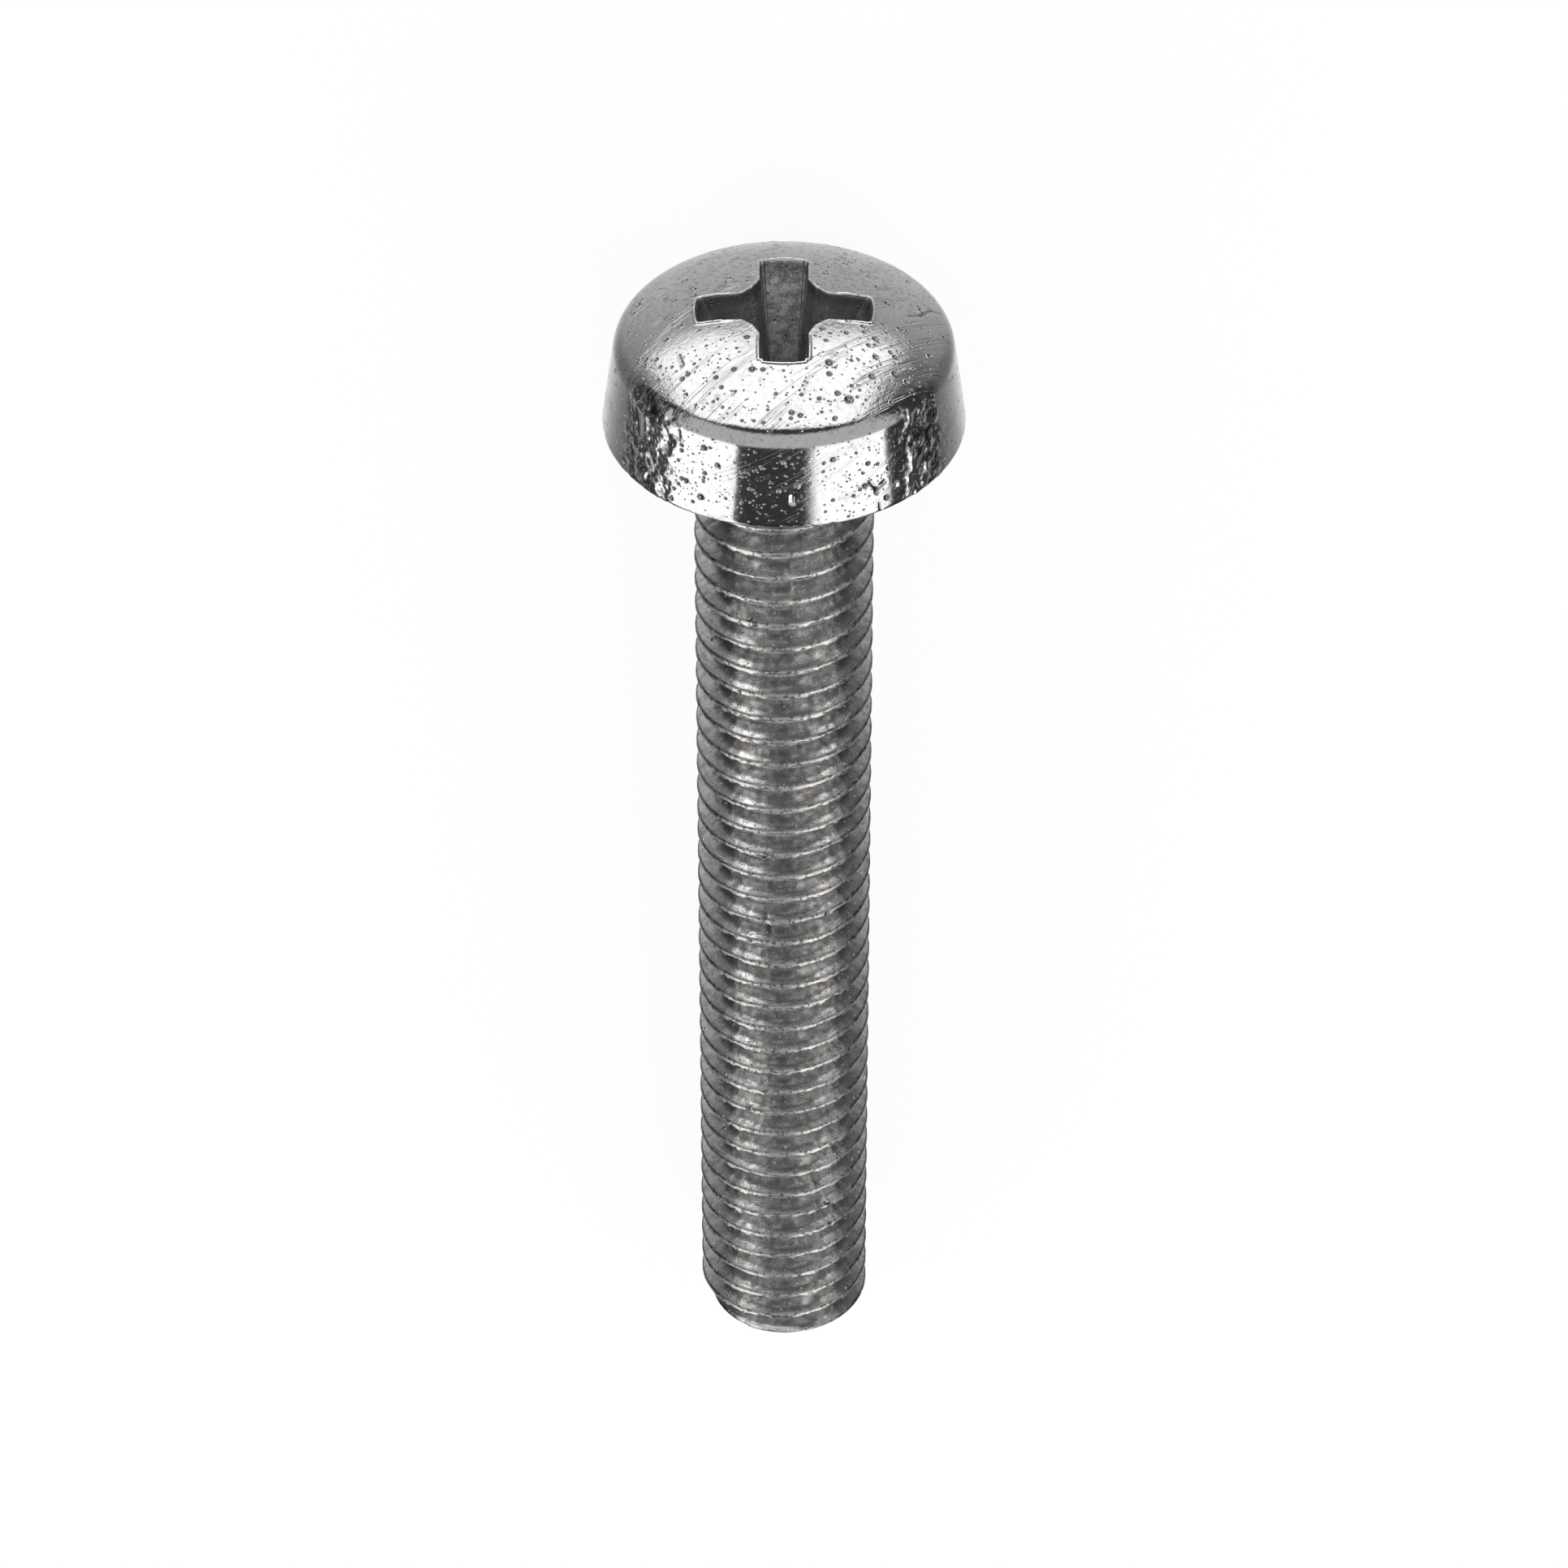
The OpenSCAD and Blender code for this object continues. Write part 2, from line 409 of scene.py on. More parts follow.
class NodeBench:
    """Adds nodes to one tree and joins them."""

    def __init__(self, tree: bpy.types.NodeTree) -> None:
        """Takes the tree to work on."""
        self.tree = tree

    def add(self, kind: str, inputs: dict | None = None, **settings: object) -> bpy.types.Node:
        """Adds a node.

        Args:
            kind: Blender's name of the node.
            inputs: What each input, by name or number, holds: a value or a socket to join.
            **settings: The node's own settings.

        Returns:
            The new node.
        """
        node = self.tree.nodes.new(kind)
        for key, value in settings.items():
            setattr(node, key, value)
        for key, value in (inputs or {}).items():
            if isinstance(value, bpy.types.NodeSocket):
                self.tree.links.new(value, node.inputs[key])
            else:
                node.inputs[key].default_value = value
        return node

    def math(self, operation: str, *values: object, clamp: bool = False) -> bpy.types.NodeSocket:
        """Adds a Math node and gives its output."""
        return self.add("ShaderNodeMath", dict(enumerate(values)), operation=operation, use_clamp=clamp).outputs[0]

    def vector(self, operation: str, *values: object) -> bpy.types.NodeSocket:
        """Adds a Vector Math node and gives its output."""
        node = self.add("ShaderNodeVectorMath", dict(enumerate(values)), operation=operation)
        return node.outputs["Value" if operation in ("DOT_PRODUCT", "LENGTH") else "Vector"]

    def step(self, value: object, low: object, high: object, start: float = 0.0, end: float = 1.0) -> bpy.types.NodeSocket:
        """Adds a smooth Map Range from low..high to start..end and gives its output."""
        node = self.add("ShaderNodeMapRange", {0: value, 1: low, 2: high, 3: start, 4: end}, interpolation_type="SMOOTHSTEP")
        return node.outputs[0]

    def blend(self, share: object, first: object, second: object, kind: str = "MIX") -> bpy.types.NodeSocket:
        """Adds a colour Mix and gives its output."""
        node = self.add("ShaderNodeMix", {0: share, 6: first, 7: second}, data_type="RGBA", blend_type=kind)
        return node.outputs[2]

    def noise(self, point: object, scale: float, detail: float = 2.0, rough: float = 0.5) -> bpy.types.NodeSocket:
        """Adds a Noise Texture and gives its factor."""
        values = {"Vector": point, "Scale": scale, "Detail": detail, "Roughness": rough}
        return self.add("ShaderNodeTexNoise", values).outputs[0]

    def group(self, tree: bpy.types.NodeTree, inputs: dict) -> bpy.types.Node:
        """Places a node group with its inputs."""
        node = self.add("ShaderNodeGroup", node_tree=tree)
        for key, value in inputs.items():
            if isinstance(value, bpy.types.NodeSocket):
                self.tree.links.new(value, node.inputs[key])
            else:
                node.inputs[key].default_value = value
        return node


def new_group(name: str, inputs: dict[str, str], outputs: dict[str, str]) -> tuple[bpy.types.NodeTree, NodeBench, object, object]:
    """Starts a shader node group.

    Args:
        name: The group's name.
        inputs: Kind of socket by input name.
        outputs: Kind of socket by output name.

    Returns:
        The group, a bench on it, its input node's outputs and its output node.
    """
    tree = bpy.data.node_groups.new(name, "ShaderNodeTree")
    for label, kind in inputs.items():
        tree.interface.new_socket(name=label, in_out="INPUT", socket_type=kind)
    for label, kind in outputs.items():
        tree.interface.new_socket(name=label, in_out="OUTPUT", socket_type=kind)
    bench = NodeBench(tree)
    return tree, bench, bench.add("NodeGroupInput").outputs, bench.add("NodeGroupOutput")


FLOAT, VECTOR = "NodeSocketFloat", "NodeSocketVector"


class EffectGroups:
    """The node groups that the steel finishes share."""

    def __init__(self) -> None:
        """Builds every group once."""
        self.grain = self.build_grain()
        self.pits = self.build_pits()
        self.bowls = self.build_bowls()
        self.stain = self.build_stain()
        self.lumps = self.build_lumps()
        self.window = self.build_window()

    def build_grain(self) -> bpy.types.NodeTree:
        """Builds fine scratches that run along one direction of a flat pattern.

        Returns:
            The group, with the heights and a mask of the deeper scratches.
        """
        tree, b, given, out = new_group("brushed_grain", {"Along": FLOAT, "Across": FLOAT, "Lift": FLOAT},
                                        {"Height": FLOAT, "Scratch": FLOAT})
        def streaks(run: float, fine: float, shift: float) -> bpy.types.NodeSocket:
            """Gives a noise drawn out along the scratches."""
            place = b.add("ShaderNodeCombineXYZ", {
                0: b.math("MULTIPLY", given["Along"], run),
                1: b.math("MULTIPLY_ADD", given["Across"], fine, shift),
                2: given["Lift"]}).outputs[0]
            return b.noise(place, 1.0, 2.0, 0.6)

        total = b.math("MULTIPLY", streaks(0.35, 22.0, 0.0), 0.5)
        total = b.math("MULTIPLY_ADD", streaks(0.25, 42.0, 7.3), 0.3, total)
        total = b.math("MULTIPLY_ADD", streaks(0.9, 12.0, 3.1), 0.3, total)
        cut = b.math("ABSOLUTE", b.math("SUBTRACT", streaks(0.3, 9.0, 21.7), 0.5))
        line = b.step(cut, 0.012, 0.05, 1.0, 0.0)
        line = b.math("MULTIPLY", line, b.step(streaks(0.55, 2.6, 11.9), 0.5, 0.6))
        b.tree.links.new(total, out.inputs["Height"])
        b.tree.links.new(line, out.inputs["Scratch"])
        return tree

    def build_pits(self) -> bpy.types.NodeTree:
        """Builds scattered small round pits.

        Returns:
            The group, with the heights (0 and below) and a mask of the pits.
        """
        tree, b, given, out = new_group("fine_pits", {"Point": VECTOR, "Spacing": FLOAT, "Size": FLOAT, "Share": FLOAT},
                                        {"Height": FLOAT, "Mask": FLOAT})
        scale = b.math("DIVIDE", 1.0, given["Spacing"])
        cells = b.add("ShaderNodeTexVoronoi", {"Vector": given["Point"], "Scale": scale, "Randomness": 1.0})
        dist = b.math("MULTIPLY", cells.outputs["Distance"], given["Spacing"])
        picked = b.add("ShaderNodeSeparateColor", {0: cells.outputs["Color"]})
        kept = b.math("LESS_THAN", picked.outputs[0], given["Share"])
        size = b.math("MULTIPLY", given["Size"], b.math("MULTIPLY_ADD", picked.outputs[1], 0.9, 0.5))
        bowl = b.step(dist, b.math("MULTIPLY", size, 0.25), size, 1.0, 0.0)
        mask = b.math("MULTIPLY", bowl, kept)
        b.tree.links.new(mask, out.inputs["Mask"])
        b.tree.links.new(b.math("MULTIPLY", mask, -1.0), out.inputs["Height"])
        return tree

    def build_bowls(self) -> bpy.types.NodeTree:
        """Builds the round pits that are painted on the mesh.

        Returns:
            The group, with the heights, a mask of the pits and a mask of their edges.
        """
        tree, b, given, out = new_group("round_pits", {"Way": VECTOR, "Radius": FLOAT},
                                        {"Height": FLOAT, "Mask": FLOAT, "Ring": FLOAT})
        away = b.vector("LENGTH", given["Way"])
        low = b.math("MAXIMUM", b.math("MULTIPLY_ADD", b.math("MULTIPLY", away, away), -1.0, 1.0), 0.0)
        bowl = b.math("MULTIPLY", low, low)
        rim = b.math("MULTIPLY", b.step(away, 0.85, 1.08), b.step(away, 1.1, 1.45, 1.0, 0.0))
        high = b.math("MULTIPLY_ADD", rim, 0.1, b.math("MULTIPLY", bowl, -0.5))
        b.tree.links.new(b.math("MULTIPLY", high, given["Radius"]), out.inputs["Height"])
        b.tree.links.new(b.step(away, 0.7, 1.05, 1.0, 0.0), out.inputs["Mask"])
        b.tree.links.new(b.math("MULTIPLY", b.step(away, 0.55, 0.85), b.step(away, 0.95, 1.2, 1.0, 0.0)), out.inputs["Ring"])
        return tree

    def build_stain(self) -> bpy.types.NodeTree:
        """Builds soft dull patches.

        Returns:
            The group, with a mask of the patches and a finer speckle.
        """
        tree, b, given, out = new_group("dull_patches", {"Point": VECTOR, "Scale": FLOAT, "Share": FLOAT},
                                        {"Mask": FLOAT, "Speckle": FLOAT})
        scale = b.math("DIVIDE", 1.0, given["Scale"])
        broad = b.add("ShaderNodeTexNoise", {"Vector": given["Point"], "Scale": scale, "Detail": 4.0, "Roughness": 0.6}).outputs[0]
        fine = b.add("ShaderNodeTexNoise", {"Vector": given["Point"], "Scale": b.math("MULTIPLY", scale, 6.0),
                                            "Detail": 2.0, "Roughness": 0.7}).outputs[0]
        mixed = b.math("MULTIPLY_ADD", fine, 0.3, b.math("MULTIPLY", broad, 0.7))
        edge = b.math("MULTIPLY_ADD", given["Share"], -0.3, 0.66)
        b.tree.links.new(b.step(mixed, b.math("SUBTRACT", edge, 0.1), b.math("ADD", edge, 0.08)), out.inputs["Mask"])
        b.tree.links.new(b.step(fine, 0.45, 0.7), out.inputs["Speckle"])
        return tree

    def build_lumps(self) -> bpy.types.NodeTree:
        """Builds a fine orange-peel unevenness.

        Returns:
            The group, with the heights around 0.
        """
        tree, b, given, out = new_group("uneven_skin", {"Point": VECTOR, "Scale": FLOAT, "Detail": FLOAT}, {"Height": FLOAT})
        scale = b.math("DIVIDE", 1.0, given["Scale"])
        values = {"Vector": given["Point"], "Scale": scale, "Detail": given["Detail"], "Roughness": 0.55}
        b.tree.links.new(b.math("SUBTRACT", b.add("ShaderNodeTexNoise", values).outputs[0], 0.5), out.inputs["Height"])
        return tree

    def build_window(self) -> bpy.types.NodeTree:
        """Builds a soft-edged window on one angle, which shapes the studio's lights.

        Returns:
            The group, with a mask that is 1 between From and To.
        """
        tree, b, given, out = new_group("soft_window", {"Angle": FLOAT, "From": FLOAT, "To": FLOAT, "Soft From": FLOAT,
                                                        "Soft To": FLOAT}, {"Mask": FLOAT})
        rise = b.step(given["Angle"], b.math("SUBTRACT", given["From"], given["Soft From"]), given["From"])
        fall = b.step(given["Angle"], given["To"], b.math("ADD", given["To"], given["Soft To"]), 1.0, 0.0)
        b.tree.links.new(b.math("MULTIPLY", rise, fall), out.inputs["Mask"])
        return tree


@dataclass
class SteelDresser:
    """Builds the steel materials."""

    pose: ScrewPose
    groups: EffectGroups
    made: dict[str, bpy.types.Material] = field(default_factory=dict)

    def place(self, b: NodeBench) -> bpy.types.NodeSocket:
        """Gives the upright place in millimetres of what is shaded.

        Args:
            b: The bench of the material.

        Returns:
            The output of a Mapping of the object's own coordinates.
        """
        turn = self.pose.axes().transposed()
        back = -(turn @ self.pose.origin())
        own = b.add("ShaderNodeTexCoord").outputs["Object"]
        return b.add("ShaderNodeMapping", {"Vector": own, "Location": back, "Rotation": turn.to_euler("XYZ"),
                                           "Scale": (1 / MM,) * 3}, vector_type="POINT").outputs[0]

    def grain_of(self, b: NodeBench, look: Look, point: bpy.types.NodeSocket) -> bpy.types.Node:
        """Places the scratches so that they run as the look says.

        Args:
            b: The bench of the material.
            look: The surface's look.
            point: The upright place.

        Returns:
            The placed group.
        """
        split = b.add("ShaderNodeSeparateXYZ", {0: point}).outputs
        if look is Look.TOP:
            along = b.vector("DOT_PRODUCT", point, (0.77, 0.64, 0.0))
            across = b.vector("DOT_PRODUCT", point, (0.64, -0.77, 0.0))
            lift = 0.0
        elif look is Look.BORE:
            along, across = split[2], b.vector("DOT_PRODUCT", point, (0.7, 0.71, 0.2))
            lift = b.vector("DOT_PRODUCT", point, (8.0, -8.0, 0.0))
        else:
            turned = b.math("MULTIPLY", b.math("ARCTAN2", split[0], b.math("MULTIPLY", split[1], -1.0)), 2.9)
            lean = 0.55 if look is Look.SIDE else 0.06
            along = b.math("MULTIPLY_ADD", split[2], lean, turned)
            across = b.math("MULTIPLY_ADD", turned, -lean, split[2])
            lift = 0.0
        return b.group(self.groups.grain, {"Along": along, "Across": across, "Lift": lift})

    def dress(self, finish: SteelFinish) -> bpy.types.Material:
        """Gives the material of a finish, and builds it the first time.

        Args:
            finish: The finish.

        Returns:
            The material.
        """
        if finish.name in self.made:
            return self.made[finish.name]
        mat = bpy.data.materials.new(finish.name)
        mat.use_nodes = True
        tree = mat.node_tree
        tree.nodes.clear()
        b = NodeBench(tree)
        point = self.place(b)
        grain = self.grain_of(b, finish.look, point)
        pits = b.group(self.groups.pits, {"Point": point, "Spacing": finish.pit_spacing, "Size": finish.pit_size,
                                          "Share": finish.pit_share})
        stain = b.group(self.groups.stain, {"Point": point, "Scale": finish.stain_scale, "Share": finish.stain_share})
        lumps = b.group(self.groups.lumps, {"Point": point, "Scale": finish.lump_scale, "Detail": 3.0})
        bowl = b.group(self.groups.bowls, {
            "Way": b.add("ShaderNodeAttribute", attribute_name="pit_way").outputs["Vector"],
            "Radius": b.add("ShaderNodeAttribute", attribute_name="pit_radius").outputs["Fac"]})
        edge = b.add("ShaderNodeAttribute", attribute_name="edge").outputs["Fac"]
        rust = b.add("ShaderNodeAttribute", attribute_name="rust").outputs["Fac"]
        scab = b.group(self.groups.lumps, {"Point": point, "Scale": 0.2, "Detail": 1.2})
        patch = b.group(self.groups.lumps, {"Point": point, "Scale": 0.6, "Detail": 3.0})
        colour = b.blend(stain.outputs["Mask"], finish.base, finish.stain)
        rough = b.step(stain.outputs["Mask"], 0.0, 1.0, finish.roughness, finish.stain_roughness)
        split = b.add("ShaderNodeSeparateXYZ", {0: point}).outputs
        if finish.crest is not None:
            flat = b.add("ShaderNodeCombineXYZ", {0: split[0], 1: split[1]}).outputs[0]
            top = b.step(b.vector("LENGTH", flat), 1.462, 1.482)
            nicks = b.group(self.groups.lumps, {"Point": point, "Scale": 0.075, "Detail": 2.0})
            nicked = b.math("MULTIPLY", b.step(nicks.outputs["Height"], 0.02, 0.1), 0.75)
            colour = b.blend(top, colour, b.blend(nicked, finish.crest, SOOT_AND_SHADE))
            rough = b.math("MULTIPLY_ADD", top, 0.13, rough)
        colour = b.blend(b.math("MULTIPLY", rust, 0.8), colour, CORRODED)
        sunk = b.math("MULTIPLY_ADD", patch.outputs["Height"], 0.8, scab.outputs["Height"])
        colour = b.blend(b.math("MULTIPLY", b.step(rust, 0.4, 1.0), b.step(sunk, -0.16, 0.0, 0.8, 0.0)), colour, SOOT_AND_SHADE)
        colour = b.blend(b.math("MULTIPLY", pits.outputs["Mask"], 0.35), colour, SOOT_AND_SHADE)
        # Dark speckle: fine dirt, laid heavier towards the back (+Y). The extra at the back is painted shade.
        colour = b.blend(b.math("MULTIPLY", stain.outputs["Speckle"], b.step(split[1], -0.4, 0.9, 0.12, 0.42)), colour, SOOT_AND_SHADE)
        colour = b.blend(b.math("MULTIPLY", grain.outputs["Scratch"], 0.4), colour, finish.stain)
        colour = b.blend(b.math("MULTIPLY", bowl.outputs["Mask"], 0.35), colour, SOOT_AND_SHADE)
        colour = b.blend(b.math("MULTIPLY", bowl.outputs["Ring"], 0.6), colour, SOOT_AND_SHADE)
        # The edge attribute paints light and shade. Below 0 it blends to near-black: painted shade in the recess under
        # its lip, in the thread's roots and at the wall's foot. It also darkens gouges and the tip's chamfer. Above 0
        # it blends to the lighter colour: painted highlight on the recess's lip and the thread's flanks, and lighter
        # nicks and drops.
        colour = b.blend(b.math("MULTIPLY", edge, -0.9, clamp=True), colour, SOOT_AND_SHADE)
        bright = b.math("MULTIPLY", b.step(lumps.outputs["Height"], -0.08, 0.04, 0.35, 1.0), edge, clamp=True)
        colour = b.blend(bright, colour, WORN_EDGE_AND_HIGHLIGHT)
        rough = b.math("MULTIPLY_ADD", grain.outputs["Scratch"], finish.grain_rough, rough)
        rough = b.math("MULTIPLY_ADD", stain.outputs["Speckle"], 0.04, rough)
        rough = b.math("MULTIPLY_ADD", bowl.outputs["Mask"], 0.12, rough)
        rough = b.math("MULTIPLY_ADD", bright, 0.12, rough)
        matt = b.math("MULTIPLY", b.step(rust, 0.1, 0.6), b.step(rust, 0.75, 0.95, 1.0, 0.0))
        rough = b.math("MULTIPLY_ADD", matt, 0.05, b.math("MULTIPLY_ADD", rust, 0.08, rough))
        high = b.math("MULTIPLY", grain.outputs["Height"], finish.grain_depth)
        high = b.math("MULTIPLY_ADD", grain.outputs["Scratch"], -1.5 * finish.grain_depth, high)
        high = b.math("MULTIPLY_ADD", pits.outputs["Height"], finish.pit_depth, high)
        high = b.math("MULTIPLY_ADD", lumps.outputs["Height"], finish.lump_depth, high)
        high = b.math("MULTIPLY_ADD", b.math("MULTIPLY", scab.outputs["Height"], rust), 0.08, high)
        high = b.math("ADD", high, bowl.outputs["Height"])
        bump = b.add("ShaderNodeBump", {"Strength": 1.0, "Distance": MM, "Height": high})
        steel = b.add("ShaderNodeBsdfPrincipled", {"Base Color": colour, "Metallic": 1.0, "Roughness": rough,
                                                   "Normal": bump.outputs[0]})
        b.add("ShaderNodeOutputMaterial", {"Surface": steel.outputs[0]})
        self.made[finish.name] = mat
        return mat


# Pits seen on the dome: x to the right, y towards the front, radius.
DOME_PITS = (
    (0.72, 1.4, 0.061), (0.72, 1.62, 0.043), (1.03, 2.04, 0.065), (0.85, 1.96, 0.043), (-0.8, 1.52, 0.043),
    (-0.51, 1.55, 0.052), (-0.34, 1.57, 0.039), (-1.09, 1.63, 0.039), (-1.54, 1.46, 0.039), (-1.57, 1.83, 0.035),
    (-0.13, 2.03, 0.03), (0.28, 2.04, 0.03), (0.56, 2.09, 0.035), (0.12, 2.35, 0.043), (0.26, 2.39, 0.039),
    (0.11, 2.44, 0.03), (-0.33, 2.5, 0.03), (-0.48, 2.46, 0.026), (-0.6, 0.84, 0.048), (0.61, 0.64, 0.039),
    (0.74, 0.73, 0.03), (0.67, 0.91, 0.035), (1.0, 0.69, 0.039), (1.29, 0.61, 0.035), (0.5, 0.81, 0.026),
    (1.47, 1.13, 0.048), (1.4, 1.54, 0.048), (1.36, 0.9, 0.039), (1.46, 0.87, 0.03), (1.78, 1.03, 0.043),
    (1.71, 0.95, 0.035), (1.77, 1.38, 0.048), (2.1, 0.65, 0.03), (1.96, 0.43, 0.026), (1.97, 1.46, 0.048),
    (1.85, 1.56, 0.03), (1.72, 1.92, 0.039), (1.08, 1.29, 0.03), (1.19, 1.25, 0.026), (1.08, 1.79, 0.03),
    (1.17, 1.97, 0.026), (1.52, 1.72, 0.026), (0.81, 2.39, 0.039), (0.6, 2.31, 0.026), (-0.98, 2.18, 0.024),
    (-1.13, 2.06, 0.026), (-1.06, 2.03, 0.024), (-1.63, 1.52, 0.039), (-1.44, 1.28, 0.026), (-1.0, 1.83, 0.035),
    (-0.76, 1.08, 0.026), (-1.25, 0.94, 0.024), (-0.01, 1.6, 0.024), (-1.05, 0.53, 0.026), (-1.36, 0.55, 0.026),
    (-1.9, 0.59, 0.039), (-2.22, 0.89, 0.039), (-2.24, 1.01, 0.03), (-2.05, 0.97, 0.035), (-2.36, 0.84, 0.035),
    (-1.99, 1.15, 0.03), (-1.8, 1.23, 0.026), (-2.02, 1.4, 0.03), (-2.26, 0.52, 0.026), (-1.92, 0.02, 0.026),
    (-1.82, 0.08, 0.026), (-1.75, 0.1, 0.026), (-1.58, -0.19, 0.026), (-1.5, -0.16, 0.024), (-1.77, -0.41, 0.035),
    (1.59, 0.32, 0.03), (1.65, 0.52, 0.026), (0.82, 1.48, 0.024), (1.21, 1.84, 0.024), (1.31, 1.99, 0.024),
    (-0.67, 2.44, 0.026), (-0.26, 2.3, 0.024), (-1.41, 2.05, 0.024),
)

# Strokes seen on the dome: from x, y to x, y, radius, depth (below 0 where it stands proud).
DOME_STROKES = (
    (-1.71, 1.01, -1.64, 1.27, 0.04, 0.02), (-0.83, 2.0, -0.78, 1.93, 0.04, 0.02),
    (2.04, -0.08, 2.22, -0.21, 0.025, 0.012), (2.22, -0.21, 2.39, -0.49, 0.03, 0.016),
    (2.39, -0.49, 2.58, -0.52, 0.025, 0.012),
)

# Pits seen on the side wall: angle from the front to the right, height, radius.
SIDE_PITS = (
    (-35.4, 1.17, 0.035), (-35.2, 1.08, 0.035), (-36.2, 0.88, 0.03), (-27.0, 1.27, 0.048), (-25.0, 1.3, 0.026),
    (-21.9, 1.02, 0.043), (-26.2, 0.82, 0.035), (-26.4, 0.74, 0.026), (-26.5, 0.66, 0.024), (-27.0, 0.37, 0.052),
    (-39.1, 0.39, 0.048), (-32.6, 0.57, 0.043), (-36.9, 0.34, 0.03), (-34.3, 0.58, 0.035), (-35.4, 0.46, 0.03),
    (-29.7, 0.24, 0.03), (-37.5, 0.14, 0.039), (-18.7, 0.46, 0.026), (16.1, 1.19, 0.043), (13.1, 1.15, 0.03),
    (12.8, 1.0, 0.026), (28.0, 0.97, 0.039), (31.5, 0.9, 0.03), (26.1, 0.82, 0.026), (15.6, 0.46, 0.03),
    (22.4, 0.46, 0.03), (26.4, 0.58, 0.048), (24.7, 0.54, 0.03), (35.3, 0.75, 0.039), (7.9, 1.26, 0.043),
    (7.6, 0.91, 0.039), (8.2, 0.8, 0.039), (4.2, 0.78, 0.039), (-1.7, 0.69, 0.03), (-0.1, 1.2, 0.03),
    (24.1, 1.22, 0.024), (-40.7, 0.68, 0.03), (33.7, 0.24, 0.048), (-7.1, 1.09, 0.024), (-11.1, 0.7, 0.024),
    (-13.4, 0.43, 0.024), (13.1, 0.27, 0.024), (20.4, 0.11, 0.024),
)

# Strokes seen on the side wall: from angle, height to angle, height, radius, depth, tone.
SIDE_STROKES = (
    (2.7, 0.6, 2.7, 0.48, 0.05, 0.024, 0.5), (28.4, 0.64, 30.5, 0.46, 0.045, 0.026, -0.5),
    (34.0, 0.54, 30.5, 0.46, 0.042, 0.026, -0.5), (30.5, 0.46, 30.4, 0.38, 0.038, 0.024, -0.5),
    (31.6, 0.18, 31.3, 0.05, 0.03, 0.02, -0.7), (-54.0, 1.74, -49.0, 1.5, 0.13, 0.012, -0.9),
)


# Corroded patches round the head: middle and half width in degrees from the front, low, high, weight.
RUST_PATCHES = (
    (-50.0, 12.0, 0.05, 1.75, 0.75), (51.0, 9.0, 0.05, 1.74, 1.0), (128.0, 16.0, 0.3, 1.5, 0.8),
    (-140.0, 12.0, 0.1, 1.2, 0.9), (178.0, 9.0, 0.5, 1.8, 0.7),
)


